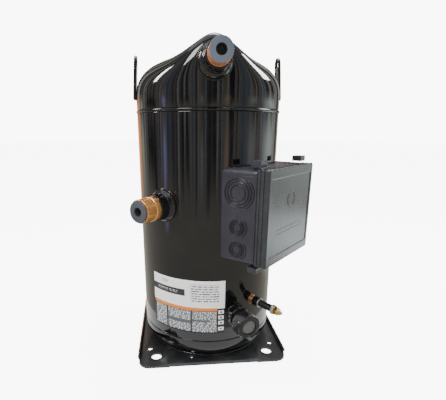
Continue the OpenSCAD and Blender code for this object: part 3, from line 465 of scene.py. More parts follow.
# %% Moulded finishes
def moulded(name, base, cloud, rough, grain_scale, grain_depth):
    """Plastic or rubber: clouds in the colour, tool grain in the relief."""
    shot = Finish(name, ior=1.5)
    clouds = shot.ramp(shot.noise(25, 4, 0.55), 0.35, 0.75)
    grain = shot.noise(grain_scale, 2)
    shot.feed(
        base_color=shot.mix(clouds, base, cloud),
        roughness=rough + (grain - 0.5) * 0.16 + clouds * 0.06,
    )
    shot.relief(grain, grain_depth, 0.6)
    return shot.material


MOULDED = {
    "box_plastic": (rgb(0.022, 0.021, 0.031), rgb(0.034, 0.032, 0.044), 0.3, 1500, 0.00008),
    # The next finish is painted shade: a near-black that stands for the shadow in the knockout grooves.
    "groove_shade_plastic": (rgb(0.006, 0.006, 0.007), rgb(0.012, 0.012, 0.014), 0.3, 1500, 0.00005),
    "cover_plastic": (rgb(0.022, 0.025, 0.028), rgb(0.034, 0.037, 0.041), 0.24, 1300, 0.00006),
    "pale_rubber": (rgb(0.075, 0.095, 0.125), rgb(0.10, 0.12, 0.155), 0.5, 900, 0.0001),
    "dark_rubber": (rgb(0.045, 0.052, 0.066), rgb(0.065, 0.072, 0.088), 0.5, 900, 0.0001),
    "gasket_rubber": (rgb(0.02, 0.02, 0.02), rgb(0.035, 0.035, 0.035), 0.8, 1200, 0.0003),
    "phenolic": (rgb(0.09, 0.06, 0.045), rgb(0.13, 0.085, 0.06), 0.4, 1000, 0.0001),
    "seal_ring": (rgb(0.07, 0.07, 0.07), rgb(0.10, 0.10, 0.10), 0.35, 1000, 0.00005),
    "magnet": (rgb(0.08, 0.08, 0.09), rgb(0.12, 0.12, 0.12), 0.65, 1100, 0.0002),
}
for name, values in MOULDED.items():
    FINISHES[name] = moulded(name, *values)
print("plastics, rubbers and ceramics:", *MOULDED)

# %% [markdown]
# ## Glass and windings
# The sight glass is a clear disc. The windings are enamelled copper, so thin wires
# show as ridges: a wave whose bands a noise bends.

# %% Special finishes
def clear_glass(name, colour, alpha_rough):
    """Glass with faint smears in its gloss."""
    pane = Finish(name, transmission_weight=0.35, ior=1.48)
    smear = pane.ramp(pane.noise(300, 4), 0.4, 0.8)
    edge = rgb(*[0.7 * c for c in colour[:3]])
    pane.feed(base_color=pane.mix(smear, colour, edge), roughness=smear * 0.2 + alpha_rough)
    return pane.material


for name, colour in {"lens_glass": rgb(0.13, 0.135, 0.14), "sealing_glass": rgb(0.16, 0.26, 0.21)}.items():
    FINISHES[name] = clear_glass(name, colour, 0.1)


def wound(name, colour, lacquer):
    """Wire ridges: bands of a wave that noise bends, tinted between the wires."""
    coil = Finish(name, coat_weight=0.4)
    wave = {"Vector": coil.place, "Scale": 260.0, "Distortion": 5.0, "Detail": 2.0, "Detail Scale": 1.5}
    wires = coil.node("TexWave", {"bands_direction": "DIAGONAL"}, wave, 1)
    shade = coil.ramp(coil.noise(60, 3), 0.35, 0.7)
    coil.feed(
        base_color=coil.mix(wires * (0.6 + shade * 0.4), lacquer, colour),
        roughness=0.45 - wires * 0.2,
    )
    coil.relief(wires, 0.0006)
    return coil.material


FINISHES["winding"] = wound("winding", rgb(0.66, 0.27, 0.11), rgb(0.24, 0.08, 0.04))
print("finishes so far:", len(FINISHES))

# %% [markdown]
# ## The label's print
# The label is a printed film. Its finish reads the film's own map, so each band and block is given
# in degrees round the can and millimetres of height. Plain bands, blocks and broken lines stand for
# print, and there is no letter on it.

# %% Printed film
LABEL_FROM, LABEL_TO = -54.9, 8.6
LABEL_LOW, LABEL_TOP = 57.0, 148.3


def printed_film():
    """The label reads its own map: u is degrees round the can and v is millimetres of height."""
    film = Finish("label_film", ior=1.5)
    spot = film.node("UVMap", {"uv_map": "print"}, {})
    axes = film.node("SeparateXYZ", {}, {"Vector": spot})
    turn = axes * (LABEL_TO - LABEL_FROM) + LABEL_FROM
    height = Value(film, axes.socket.node.outputs[1]) * (LABEL_TOP - LABEL_LOW) + LABEL_LOW

    def block(left, right, low, top):
        """One inside a rectangle of the film, nought outside."""
        return (turn > left) * (turn < right) * (height > low) * (height < top)

    def dashes(rows, runs, share, offset=0.0):
        """Rows of short bars that stand for print: no letters, only broken lines."""
        line = film.node("Math", {"operation": "FRACT"}, {0: height * rows + offset}) < 0.5
        row = film.node("Math", {"operation": "FLOOR"}, {0: height * rows + offset})
        along = turn * runs + row * 7.3
        bits = film.node("TexNoise", {"noise_dimensions": "1D"}, {"W": along, "Scale": 1.0, "Detail": 0.0})
        return line * (bits > share)

    white, black = rgb(0.86, 0.86, 0.85), rgb(0.012, 0.012, 0.014)
    orange, grey, ink = rgb(0.74, 0.22, 0.02), rgb(0.15, 0.16, 0.175), rgb(0.015, 0.015, 0.018)
    print_grey = rgb(0.08, 0.08, 0.09)
    colour = film.mix(block(-60, 9.5, 100.7, 149), black, white)
    colour = film.mix(block(-55, -23.4, 120.6, 132), colour, rgb(0.03, 0.03, 0.033))
    colour = film.mix(block(-50, -30, 124.5, 128) * dashes(0.3, 0.6, 0.45), colour, rgb(0.6, 0.6, 0.6))
    text_rows = block(-19, 4, 112, 142.5) * dashes(0.24, 0.85, 0.42)
    colour = film.mix(text_rows, colour, print_grey)
    colour = film.mix(block(-45, -38, 138, 143) * dashes(0.5, 1.5, 0.4), colour, print_grey)
    colour = film.mix(block(-54, 2.6, 96.5, 101.8), colour, orange)
    colour = film.mix(block(-48, -1, 98, 100.4) * dashes(0.25, 0.9, 0.55), colour, ink)
    for left, right, low in ((-53, -40.2, 58.5), (-39.2, -18.6, 58.5), (-17.8, 2.4, 58.5)):
        colour = film.mix(block(left, right, low, 95.8), colour, grey)
        colour = film.mix(block(left + 0.6, right - 0.6, low, 95) * dashes(0.34, 0.7, 0.52), colour, white)
    dark_bar = block(-39.2, -18.6, 73, 78) + block(-17.8, -3, 77, 80.5)
    colour = film.mix(dark_bar, colour, rgb(0.09, 0.09, 0.10))
    for low in (91, 81.5, 72, 61):
        colour = film.mix(block(3.4, 7.8, low, low + 6.5), colour, white)
        colour = film.mix(block(4.8, 6.4, low + 1.6, low + 4.6), colour, black)
    wear = film.ramp(film.noise(90, 4), 0.62, 0.75)
    film.feed(base_color=film.mix(wear * 0.12, colour, grey), roughness=0.32 + wear * 0.2)
    film.relief(film.noise(35, 1), 0.0004, 0.3)
    return film.material


FINISHES["label_film"] = printed_film()
print("finishes:", len(FINISHES))

# %% [markdown]
# ## Sizes that everything shares
# The can's radius and the heights of its seams come from the frame. The other sizes are in
# millimetres, and each part's own sizes stand where the part is made.

# %% Sizes
def height_of(node):
    """Lowest and highest point of a CAD node, in millimetres."""
    low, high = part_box(node)
    return low.z / MM, high.z / MM


CAN_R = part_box("center_shell")[1].x / MM
CAN_WALL = 4.5
SHELL_BOTTOM, SHELL_TOP = height_of("center_shell")
RIM_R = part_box("partition_plate")[1].x / MM
PLATE_TOP = 7.0
KNUCKLE_R = 30.0
CAP_FLOOR = 1.5
print("can radius", round(CAN_R, 2), "shell", round(SHELL_BOTTOM, 1), round(SHELL_TOP, 1))

# %% [markdown]
# ## The can
# The middle of the can is a drawn tube. Its two ends are eased, so the seam above and the seam
# below each catch a thin line of light.

# %% Can wall
can_profile = eased(
    [
        (CAN_R, SHELL_BOTTOM, 1.4),
        (CAN_R, SHELL_TOP, 1.2),
        (CAN_R - CAN_WALL, SHELL_TOP, 0.3),
        (CAN_R - CAN_WALL, SHELL_BOTTOM, 0.3),
    ],
    closed=True,
)
can_grid = turned(can_profile, 256)
piece("can_wall", [shell(can_grid, wrap_rows=True)], "can_paint", ["center_shell"])

# %% [markdown]
# ## The bottom cap
# The bottom is pressed from sheet like a shallow pan: flat in the middle, then a quarter circle up
# to its wall. It tucks a lip inside the can, where the two are welded.

# %% Bottom cap
def knuckle(radius, steps=16):
    """A quarter circle about the knuckle's centre: r = c + R sin a, z = m - R cos a."""
    a = np.linspace(0, np.pi / 2, steps)
    centre_r, centre_z = CAN_R - KNUCKLE_R, CAP_FLOOR + KNUCKLE_R
    return np.stack([centre_r + radius * np.sin(a), centre_z - radius * np.cos(a)], axis=-1)


seam = SHELL_BOTTOM
lip = eased(
    [
        (CAN_R, seam - 6, 0),
        (CAN_R, seam, 1.4),
        (CAN_R - CAN_WALL, seam, 0.2),
        (CAN_R - CAN_WALL, seam + 10, 0.8),
        (CAN_R - 2 * CAN_WALL, seam + 10, 0.8),
        (CAN_R - 2 * CAN_WALL, seam - 2, 1.0),
    ]
)
inside = knuckle(KNUCKLE_R - CAN_WALL)[::-1]
ends = [[[0, CAP_FLOOR]], knuckle(KNUCKLE_R), lip, inside, [[0, CAP_FLOOR + CAN_WALL]]]
bottom_grid = turned(np.vstack(ends), 256)
piece("bottom_cap", [shell(bottom_grid)], "can_paint", ["lower_cap"])

# %% [markdown]
# ## The top cap
# Seen from any side the cap's outline is a superellipse, (x/a)^n + (z/b)^n = 1. In front its
# exponent n and its rise b both grow, so the wall runs straight on upwards into a hood that gives
# the discharge fitting an upright face. Both fade away round the can as 1 / cosh.

# %% Top cap
DOME_RISE, HOOD_RISE = 63.0, 14.6
DOME_N, HOOD_N, HOOD_SPREAD = 2.6, 11.5, 10.0
SKIRT_Z = 419.7
CAP_BOTTOM = height_of("top_cap")[0]


def cap_grid(wall, rows=56, cols=288):
    """Points at (direction, slope): k = 1 / (cos^n + sin^n)^(1/n) brings each slope's unit vector
    onto the superellipse. Directions crowd towards the hood, where the shape changes fastest."""
    u = np.linspace(-1, 1, cols, endpoint=False)
    turn = 180 * np.sign(u) * np.abs(u) ** 1.7
    hood = 1 / np.cosh(turn / HOOD_SPREAD)
    slope = np.radians(90 * np.linspace(0, 1, rows) ** 0.9)[:, None]
    n = DOME_N + HOOD_N * hood
    c, s = np.cos(slope).clip(1e-9), np.sin(slope)
    k = (c ** n + s ** n) ** (-1 / n)
    reach = np.minimum(1, k * c)
    rise = DOME_RISE + HOOD_RISE * hood * reach ** 2 * (3 - 2 * reach)
    r = (CAN_R - wall) * k * c
    z = SKIRT_Z + (rise - wall) * k * s
    a = np.radians(turn + DISCHARGE_TURN)
    r[-1] = 0
    z[-1] = SKIRT_Z + DOME_RISE - wall
    return np.stack([r * np.sin(a), -r * np.cos(a), z], axis=-1)


def skirt_rows(grid, levels):
    """Rings under the dome's first ring, at the given (inset, height) pairs."""
    ring = grid[0]
    flat = ring[:, :2] / np.linalg.norm(ring[:, :2], axis=1, keepdims=True)
    rows = [np.column_stack([flat * (CAN_R - inset), np.full(len(ring), z)]) for inset, z in levels]
    return np.stack(rows)


dome_out, dome_in = cap_grid(0), cap_grid(CAN_WALL)
lower = CAP_BOTTOM
skirt = [(CAN_WALL, lower), (1.2, lower), (0.35, lower + 0.35), (0, lower + 1.2)]
top_grid = np.concatenate([dome_in[::-1], skirt_rows(dome_out, skirt), dome_out])
piece("top_cap_skin", [shell(top_grid)], "can_paint", ["top_cap"], sharp=60)

# %% [markdown]
# ## The partition between the caps
# A domed plate is clamped and welded between can and cap. Outside, only its rim shows, as a rounded
# lip all the way round that stands a little proud.

# %% Partition plate
under, over = height_of("partition_plate")
rim_low = SHELL_TOP
rim_high = rim_low + 4.0
partition_profile = eased(
    [
        (12, under + 6, 0.5),
        (60, under + 6, 4),
        (CAN_R - 11.5, rim_low, 4),
        (RIM_R, rim_low, 1.6),
        (RIM_R, rim_high, 1.6),
        (CAN_R - 11.5, rim_high, 4),
        (61, over, 4),
        (12, over, 0.5),
    ],
    steps=7,
    closed=True,
)
rim_shell = shell(turned(partition_profile, 256), wrap_rows=True)
piece("partition_rim", [rim_shell], "can_paint", ["partition_plate"])

# %% [markdown]
# ## Weld beads
# A weld is a chain of small frozen puddles. One bead closes the can on its foot plate, and one runs
# round each collar where it meets the can.

# %% Weld beads
foot_bead = bead(circle_line(CAN_R - KNUCKLE_R + 18.6, PLATE_TOP + 0.3, 300), 2.2, ripple=0.12, pitch=7)
piece("foot_weld", [shell(foot_bead, wrap_rows=True)], "nut_paint")


# %% [markdown]
# ## Lifting lugs
# Each lug is a strap with a round top and an eye. Around the eye, the outline is a distance that
# depends on direction: half the width above, and the nearest side or foot below. Joining eye and
# outline row by row gives a plate with a hole and eased edges.

# %% Eye plates
def strap_reach(half_w, below):
    """Distance from the eye to the outline of a round-topped strap, by direction."""

    def reach(t):
        c, s = np.abs(np.cos(t)).clip(1e-6), np.sin(t)
        side = np.minimum(half_w / c, below / (-s).clip(1e-6))
        return np.where(s > 0, half_w, side)

    return reach


def block_reach(left, right, low, top):
    """Distance from the eye to a rectangle's edge, by direction."""

    def reach(t):
        c, s = np.cos(t), np.sin(t)
        across = np.where(c > 0, right, left) / np.abs(c).clip(1e-6)
        upward = np.where(s > 0, top, low) / np.abs(s).clip(1e-6)
        return np.minimum(across, upward)

    return reach


def eye_plate(reach, eye_r, thickness, ease, count=160):
    """A plate with a round hole: each row is a ring between eye and outline at some depth."""
    t = full_turn(count)
    far = reach(t)
    near = np.full_like(far, eye_r)
    half = thickness / 2
    e = ease * 0.3
    rows = [
        (near + ease, half),
        (near + e, half - e),
        (near, half - ease),
        (near, ease - half),
        (near + e, e - half),
        (near + ease, -half),
        (far - ease, -half),
        (far - e, e - half),
        (far, ease - half),
        (far, half - ease),
        (far - e, half - e),
        (far - ease, half),
    ]
    return np.stack([round_axis(r, t, depth) for r, depth in rows])


print("a strap 21 mm wide reaches", strap_reach(10.5, 55)(np.array([0.0]))[0], "mm sideways")

# %% [markdown]
# Each lug leans a little towards the can, and the left one is the right one mirrored.

# %% Lifting lugs
LUG_T, LUG_W, LUG_H, LUG_LEAN, LUG_EYE_R = 4.5, 21.0, 66.0, 4.0, 7
LUG_FOOT = np.array([CAN_R + 0.4, 0, 420.0])


def lug(side):
    """A strap in its own plane, leaned towards the can and set on its side of it."""
    flat = eye_plate(strap_reach(LUG_W / 2, LUG_H - LUG_W / 2), LUG_EYE_R, LUG_T, 0.9)
    lean = math.radians(LUG_LEAN)
    across = np.array([0, 1, 0])
    up = np.array([-math.sin(lean), 0, math.cos(lean)])
    out = np.array([math.cos(lean), 0, math.sin(lean)])
    eye = LUG_FOOT + out * LUG_T / 2 + up * (LUG_H - LUG_W / 2)
    grid = flat[..., :1] * across + flat[..., 1:2] * up + flat[..., 2:] * out + eye
    grid[..., 0] *= side
    return shell(grid, wrap_rows=True)


for side, name in ((1, "right"), (-1, "left")):
    stands_for = ["lifting_lug_" + name]
    piece("lug_strap_" + name, [lug(side)], "can_paint", stands_for)


# %% [markdown]
# ## Collars, stubs and plugs
# Each stub is brazed into a collar: a flange that sits on the can like a saddle, then a neck. The
# flange's back follows the can's cylinder, so its depth is sqrt(R^2 - x^2). The neck is turned. A
# rubber stopper closes each stub, and its blind grip hole is lined with a dark cup that is painted
# shade for the inside of the hole.

# %% Fittings on the can
def saddle(x, radius=None):
    """Distance from the can's axis to its wall at a sideways offset x."""
    return np.sqrt((radius or CAN_R) ** 2 - x ** 2)


def collar(flange_r, neck_r, bore_r, flange_top, neck_top):
    """Turned profile whose first and last rows are laid onto the can's wall."""
    profile = eased(
        [
            (flange_r, CAN_R - 5, 0),
            (flange_r, CAN_R + flange_top - 5, 2.5),
            (flange_r - 4, CAN_R + flange_top - 0.6, 2.5),
            (neck_r + 0.4, CAN_R + flange_top, 2),
            (neck_r, CAN_R + flange_top + 3, 1),
            (neck_r, CAN_R + neck_top, 1.2),
            (bore_r, CAN_R + neck_top, 0.5),
            (bore_r, CAN_R - 5, 0),
        ],
        steps=7,
    )
    grid = turned(profile, 144)
    for row in (0, -1):
        grid[row, :, 2] = saddle(grid[row, :, 0])
    return grid


def saddle_line(radius, lift=0.6, count=200):
    """The curve where a round fitting of some radius meets the can."""
    line = circle_line(radius, 0, count)
    line[:, 2] = saddle(line[:, 0]) + lift
    return line


def stub(outer_r, root_r, wall, root_from, neck_top, end, bell):
    """A tube, thicker inside its collar, with an optional bell where the braze was drawn in."""
    chain = [(root_r, root_from, 0.3), (root_r, neck_top, 0.1)]
    if bell:
        chain += [(outer_r + 0.9, neck_top + 0.6, 0.5), (outer_r + 0.9, neck_top + bell, 0.8)]
        chain += [(outer_r, neck_top + bell + 0.6, 0.4)]
    else:
        chain += [(outer_r, neck_top + 0.3, 0.1)]
    chain += [(outer_r, end, 0.7), (outer_r - wall, end, 0.4), (outer_r - wall, root_from, 0.3)]
    return turned(eased(chain, closed=True), 128)


GRIP_R, GRIP_DEPTH, RIM_T, STEM_LONG = 6.5, 8, 3, 14


def plug(outer_r, wall, rim, end):
    """A rubber stopper: stem in the tube, thin flange outside and a blind grip hole."""
    stem_r, rim_r = outer_r - wall - 0.1, outer_r - rim
    hole, face, under, tip = end - GRIP_DEPTH, end + RIM_T, end + 0.15, end - STEM_LONG
    chain = [(0, hole, 0), (GRIP_R, hole, 0.8), (GRIP_R, face, 0.5), (rim_r, face, 0.7)]
    chain += [(rim_r, under, 0.4), (stem_r, under, 0.3), (stem_r, tip, 1), (0, tip, 0)]
    return turned(eased(chain), 112)


def grip_shade_cup(end):
    """Painted shade for a grip hole: a thin dark cup that lines its wall and floor."""
    chain = [(0, end - 7.9, 0), (6.1, end - 7.9, 0.8), (6.1, end + 2.4, 0.1), (6.45, end + 2.4, 0.1)]
    chain += [(6.45, end - 7.97, 0.5), (0, end - 7.97, 0)]
    return turned(eased(chain), 96)


FITTINGS = {
    "suction": dict(turn=SUCTION_TURN, height=263.8, r=17.45, flange=25, neck=25, out=52, bell=8, rim=1.5),
    "discharge": dict(turn=DISCHARGE_TURN, height=460, r=14.3, flange=23, neck=46, out=64, bell=0, rim=0.2),
}
STUB_WALL = 1.8
RUBBERS = {"suction": "dark_rubber", "discharge": "pale_rubber"}
for name, size in FITTINGS.items():
    spot = outwards(size["turn"], size["height"])
    end, r, flange = CAN_R + size["out"], size["r"], size["flange"]
    flange_grid = collar(flange, r + 2.4, r + 0.4, 9, size["neck"])
    weld = bead(saddle_line(flange + 0.2, 0.3), 1.1, ripple=0.12, pitch=4)
    piece(name + "_collar_skin", placed(spot, flange_grid, weld), "nut_paint", [name + "_collar"])
    tube = stub(r, r + 0.4, STUB_WALL, CAN_R - 8, CAN_R + size["neck"], end, size["bell"])
    piece(name + "_tube", placed(spot, tube), "copper", [name + "_stub"], finish=name + "_copper")
    body, rubber = name + "_plug", RUBBERS[name]
    stopper = [shell(spot(plug(r, STUB_WALL, size["rim"], end)))]
    piece(name + "_stopper", stopper, rubber, [body], body=body)
    # Painted shade: the grip hole's dark cup darkens the hole as its own shadow would.
    hole_shade = [shell(spot(grip_shade_cup(end)))]
    piece(name + "_grip_hole_shade", hole_shade, rubber, body=body, finish="gasket_rubber")


# %% [markdown]
# ## The terminal box
# The box is moulded. Its mouth is a rounded rectangle and its walls spread a little towards the
# can, whose curve its back follows. One closed loft makes it: along the back from the round hole in
# its floor to the outer wall, up to the rim, over it, down inside and back to the hole.

# %% Rounded rectangles
def rounded_rectangle(half_w, half_h, radius, corner_steps=8, side_steps=12):
    """Points round a rectangle with arcs at its corners; every size has the same count of points,
    so that two of them can be joined row by row."""
    a = np.linspace(0, np.pi / 2, corner_steps)
    s = np.linspace(0, 1, side_steps + 2)[1:-1, None]
    out = []
    corners = []
    for quarter, (sx, sy) in enumerate(((1, 1), (-1, 1), (-1, -1), (1, -1))):
        centre = np.array([sx * (half_w - radius), sy * (half_h - radius)])
        t = a + quarter * np.pi / 2
        corners.append(centre + radius * np.stack([np.cos(t), np.sin(t)], axis=-1))
    for arc, following in zip(corners, corners[1:] + corners[:1]):
        out.append(arc)
        out.append(arc[-1] + (following[0] - arc[-1]) * s)
    return np.vstack(out)


BOX_Z = 254.0
BOX_HALF_W, BOX_HALF_H, BOX_RIM, BOX_WALL = 70.7, 69.5, 141.0, 2.5
FLARE = 6.3 / 55
FENCE_R = 33.0
box_spot = outwards(BOX_TURN, BOX_Z)


def wall_ring(inset, radius, depth):
    """A ring of the box's wall; its half width grows with its distance behind the rim, which the
    ring's own depth sets, so the two are settled by repeating the step."""
    ring = rounded_rectangle(BOX_HALF_W - inset, BOX_HALF_H - inset, radius)
    x = ring[:, 0]
    for _ in range(4):
        z = depth(x) if callable(depth) else np.full(len(x), float(depth))
        x = ring[:, 0] * (1 + (BOX_RIM - z) * FLARE / (BOX_HALF_W - inset))
    return np.column_stack([x, ring[:, 1], z])


def floor_rows(inset, radius, level, rows=6):
    """Rows from the floor's round hole out to the wall, laid on a cylinder about the can's axis."""
    outer = wall_ring(inset, radius, lambda x: saddle(x, level))
    t = np.arctan2(outer[:, 1], outer[:, 0])
    hole = FENCE_R * np.stack([np.cos(t), np.sin(t)], axis=-1)
    out = []
    for share in np.linspace(0, 1, rows):
        flat = hole + (outer[:, :2] - hole) * share
        out.append(np.column_stack([flat, saddle(flat[:, 0], level)]))
    return out


BACK, FLOOR = CAN_R + 0.5, CAN_R + 0.5 + BOX_WALL
OUTER_CORNER, INNER_CORNER = 8, 5.5
RISES = (0.02, 0.1, 0.5, 0.9)


def rising(inset, radius, level, shares):
    """Rings at shares of the way from a floor, laid on a cylinder, to the flat rim."""
    return [wall_ring(inset, radius, lambda x: saddle(x, level) * (1 - s) + BOX_RIM * s) for s in shares]


rows = floor_rows(0, OUTER_CORNER, BACK)
rows += rising(0, OUTER_CORNER, BACK, RISES)
for inset, radius, drop in ((0, 8, 0.8), (0.3, 7.7, 0.2), (0.9, 7.1, 0), (2.1, 5.9, 0), (2.5, 5.5, 0.5)):
    rows.append(wall_ring(inset, radius, BOX_RIM - drop))
rows += rising(BOX_WALL, INNER_CORNER, FLOOR, RISES[::-1])
rows += floor_rows(BOX_WALL, INNER_CORNER, FLOOR)[::-1]
box_shell = shell(box_spot(np.stack(rows)), wrap_rows=True)
print("terminal box loft:", len(rows), "rings")


# %% [markdown]
# Four ears stand at the box's corners, each with an upright hole for a cover screw. The large and
# small knockouts on the side wall are rings pressed into the moulding, with a partial arc around
# each, and thin ribs cross the wall between them. The pressed rings and arcs are drawn as raised
# beads in a near-black plastic, which is painted shade for the shadow inside the grooves.

# %% Ears, knockouts and ribs
EAR_X, EAR_UP, EAR_BACK, EAR_FRONT = BOX_HALF_W - 8.5, 11.0, BOX_RIM - 10, BOX_RIM + 5


def ear(sx, sy):
    """An eye plate lying flat: its plane is across and outward, its thickness is upward."""
    bore = BOX_RIM - 3
    flat = eye_plate(block_reach(8, 8, bore - EAR_BACK, EAR_FRONT - bore), 2.5, EAR_UP - 2.6, 0.8, 96)
    grid = np.stack([flat[..., 0], flat[..., 2], flat[..., 1]], axis=-1)
    shift = np.array([sx * EAR_X, sy * (BOX_HALF_H + 2.6 + (EAR_UP - 2.6) / 2), bore])
    return shell(box_spot(grid + shift), wrap_rows=True)


def wall_spot(y, depth):
    """Maps a flat drawing onto the left side wall: x runs outwards along the wall, y up."""
    slope = math.atan(FLARE)
    along = np.array([math.sin(slope), 0, math.cos(slope)])
    up = np.array([0, 1, 0])
    off = np.array([-math.cos(slope), 0, math.sin(slope)])
    half_w = BOX_HALF_W + (BOX_RIM - depth) * FLARE
    centre = np.array([-half_w, y, depth])
    return lambda grid: box_spot(grid[..., :1] * along + grid[..., 1:2] * up + grid[..., 2:] * off + centre)


def raised_ring(place, radius, thick):
    """A half-sunk round bead on the wall."""
    return shell(place(bead(circle_line(radius, 0, 72), thick, sides=8)), wrap_rows=True)


def raised_rod(place, points, thick, sides=8):
    """An open bead through points on the wall, tapered to nothing at both ends."""
    line = np.asarray(points, float)
    line = np.column_stack([line, np.zeros(len(line))])
    ahead = np.gradient(line, axis=0)
    ahead /= np.linalg.norm(ahead, axis=1, keepdims=True)
    side = np.cross(ahead, [0, 0, 1.0])
    t = full_turn(sides)[None, :, None]
    size = np.full(len(line), thick)
    size[[0, -1]] = 0
    around_line = np.cos(t) * side[:, None] + np.sin(t) * np.array([0, 0, 1.0])
    return shell(place(line[:, None] + size[:, None, None] * around_line))


def arc_points(radius, start, stop, count=24):
    """Points on an arc between two angles in degrees."""
    return round_axis(radius, np.radians(np.linspace(start, stop, count)), 0)[:, :2]


def straight(x0, y0, x1, y1, count=12):
    """Points on a straight line."""
    s = np.linspace(0, 1, count)
    return np.stack([x0 + (x1 - x0) * s, y0 + (y1 - y0) * s], axis=-1)


KNOCKOUT_DEPTH = 113.5
KNOCKOUTS = ((35, 20.7), (-15.3, 11.5), (-48.8, 11.5))
RIBS = ((-3, 59, 24, 59), (-20, 8, 6, 8), (0, -2, 0, 8), (5, -32, 24, -32), (6, 8, 24, 8))
wall_marks = []
groove_shade_rings = []
for y, radius in KNOCKOUTS:
    place = wall_spot(y, KNOCKOUT_DEPTH)
    groove_shade_rings += [raised_ring(place, radius * k, 0.85) for k in (1, 0.8, 0.55)]
    wall_marks.append(raised_ring(place, 1.0, 0.6))
    wall_marks += [raised_ring(place, radius * k, 0.4) for k in (0.93, 0.72)]
    groove_shade_rings.append(raised_rod(place, arc_points(radius + 3.8, -60, 50), 0.8))
place = wall_spot(0, KNOCKOUT_DEPTH)
for rib in RIBS:
    wall_marks.append(raised_rod(place, straight(*rib), 0.45))
ears = [ear(sx, sy) for sx in (-1, 1) for sy in (-1, 1)]
piece("terminal_housing", [box_shell] + ears + wall_marks, "box_plastic", ["terminal_box"])
# Painted shade: the knockout rings and arcs are near-black for the shadow inside their grooves.
piece("knockout_groove_shade", groove_shade_rings, "box_plastic", finish="groove_shade_plastic")

# %% [markdown]
# ## The cover
# The cover is a shallow tray. Rings of its loft run from the middle of its inner face out to the
# lip, round two grooves in its side, over the front edge, down a step into the sunk panel and to the
# panel's middle. A plain raised ring and two bars stand where a maker would put a badge.

# %% Cover
COVER_BACK = BOX_RIM + 0.3 + 1.6
COVER_DEPTH = 17.5
COVER_HALF_H = BOX_HALF_H + 0.4
COVER_FRONT = COVER_BACK + COVER_DEPTH


def tray(rows):
    """Stacks rings given as (inset sideways, inset upwards, corner radius, depth)."""
    rings = []
    for inset_x, inset_y, radius, depth in rows:
        ring = rounded_rectangle(BOX_HALF_W - inset_x, COVER_HALF_H - inset_y, radius)
        rings.append(np.column_stack([ring, np.full(len(ring), depth)]))
    centre = [rings[k] * [0, 0, 1] for k in (0, -1)]
    return np.stack([centre[0]] + rings + [centre[1]])


inner_top = COVER_FRONT - BOX_WALL - 1
cover_rows = [
    (4.0, 4.0, 1.5, inner_top),
    (BOX_WALL, BOX_WALL, 2.0, inner_top - 1),
    (BOX_WALL, BOX_WALL, 2.0, COVER_BACK + 0.5),
    (BOX_WALL - 0.5, BOX_WALL - 0.5, 2.5, COVER_BACK),
    (0.8, 0.8, 3.0, COVER_BACK),
    (0.15, 0.15, 3.5, COVER_BACK + 0.3),
    (0, 0, 3.5, COVER_BACK + 1.0),
]
for groove in (COVER_BACK + 2.6, COVER_BACK + 8.6):
    cover_rows += [(0, 0, 3.5, groove), (1.1, 1.1, 3.0, groove + 0.5)]
    cover_rows += [(1.1, 1.1, 3.0, groove + 2.7), (0, 0, 3.5, groove + 3.2)]
cover_rows += [
    (0, 0, 3.5, COVER_FRONT - 2.0),
    (0.25, 0.25, 3.5, COVER_FRONT - 0.9),
    (0.9, 0.9, 3.2, COVER_FRONT - 0.25),
    (2.0, 2.0, 3.0, COVER_FRONT),
    (2.5, 2.5, 3.0, COVER_FRONT),
    (5.9, 12.4, 3.0, COVER_FRONT),
    (6.4, 12.9, 3.0, COVER_FRONT),
    (6.9, 13.4, 3.0, COVER_FRONT - 0.2),
    (7.1, 13.6, 2.8, COVER_FRONT - 0.8),
    (7.6, 14.1, 2.6, COVER_FRONT - 1.0),
    (8.3, 14.8, 2.4, COVER_FRONT - 1.0),
    (30, 30, 1.0, COVER_FRONT - 1.0),
]
cover_shell = shell(box_spot(tray(cover_rows)))


def face_spot(x, y):
    """Maps a flat drawing onto the sunk panel of the cover's front."""
    return lambda grid: box_spot(grid + np.array([x, y, COVER_FRONT - 1.0]))


BADGE_R, BAR_HALF, BADGE_UP, RAISED = 11, 44, 22, 0.5
badge = [raised_rod(face_spot(0, BADGE_UP), arc_points(BADGE_R, 0, 360, 48), RAISED)]
for y in (-3, 3):
    bar = straight(-BAR_HALF, y, BAR_HALF, y)
    badge.append(raised_rod(face_spot(0, -BADGE_UP), bar, RAISED))
cover_shells = [cover_shell] + badge
piece("cover_tray", cover_shells, "cover_plastic", ["terminal_box_cover"], body="cover")

# %% [markdown]
# ## Hexagons
# A nut is a six-sided bar whose ends are turned to a cone, so its radius is the smaller of the
# hexagon's and the cone's. The hexagon's radius at an angle is apothem / cos(angle from the flat).

# %% Hexagon stock
def hexagon(flats, levels, bore_r, sides_each=16):
    """Rows at (height, cone radius); each radius is the lesser of hexagon and cone."""
    t = full_turn(6 * sides_each)
    off = (t + np.pi / 6) % (np.pi / 3) - np.pi / 6
    hexed = np.minimum(flats / 2 / np.cos(off), flats / 2 * 1.135)
    rows = [round_axis(np.minimum(hexed, cone), t, height) for height, cone in levels]
    rows += [round_axis(bore_r, t, height) for height in (levels[-1][0], levels[0][0])]
    return np.stack(rows)


def chamfered(flats, low, high, ends=(True, True)):
    """Levels of a bar from low to high whose chosen ends are coned from corner to flat."""
    corner, flat, cut = flats / 2 * 1.16, flats / 2 - 0.5, flats * 0.07
    first = [(low, flat), (low + cut * 0.5, (flat + corner) / 2), (low + cut, corner)]
    last = [(high - cut, corner), (high - cut * 0.5, (flat + corner) / 2), (high, flat)]
    return (first if ends[0] else [(low, corner)]) + (last if ends[1] else [(high, corner)])


print("a bar chamfered at both ends has", len(chamfered(36, 0, 20)), "levels")
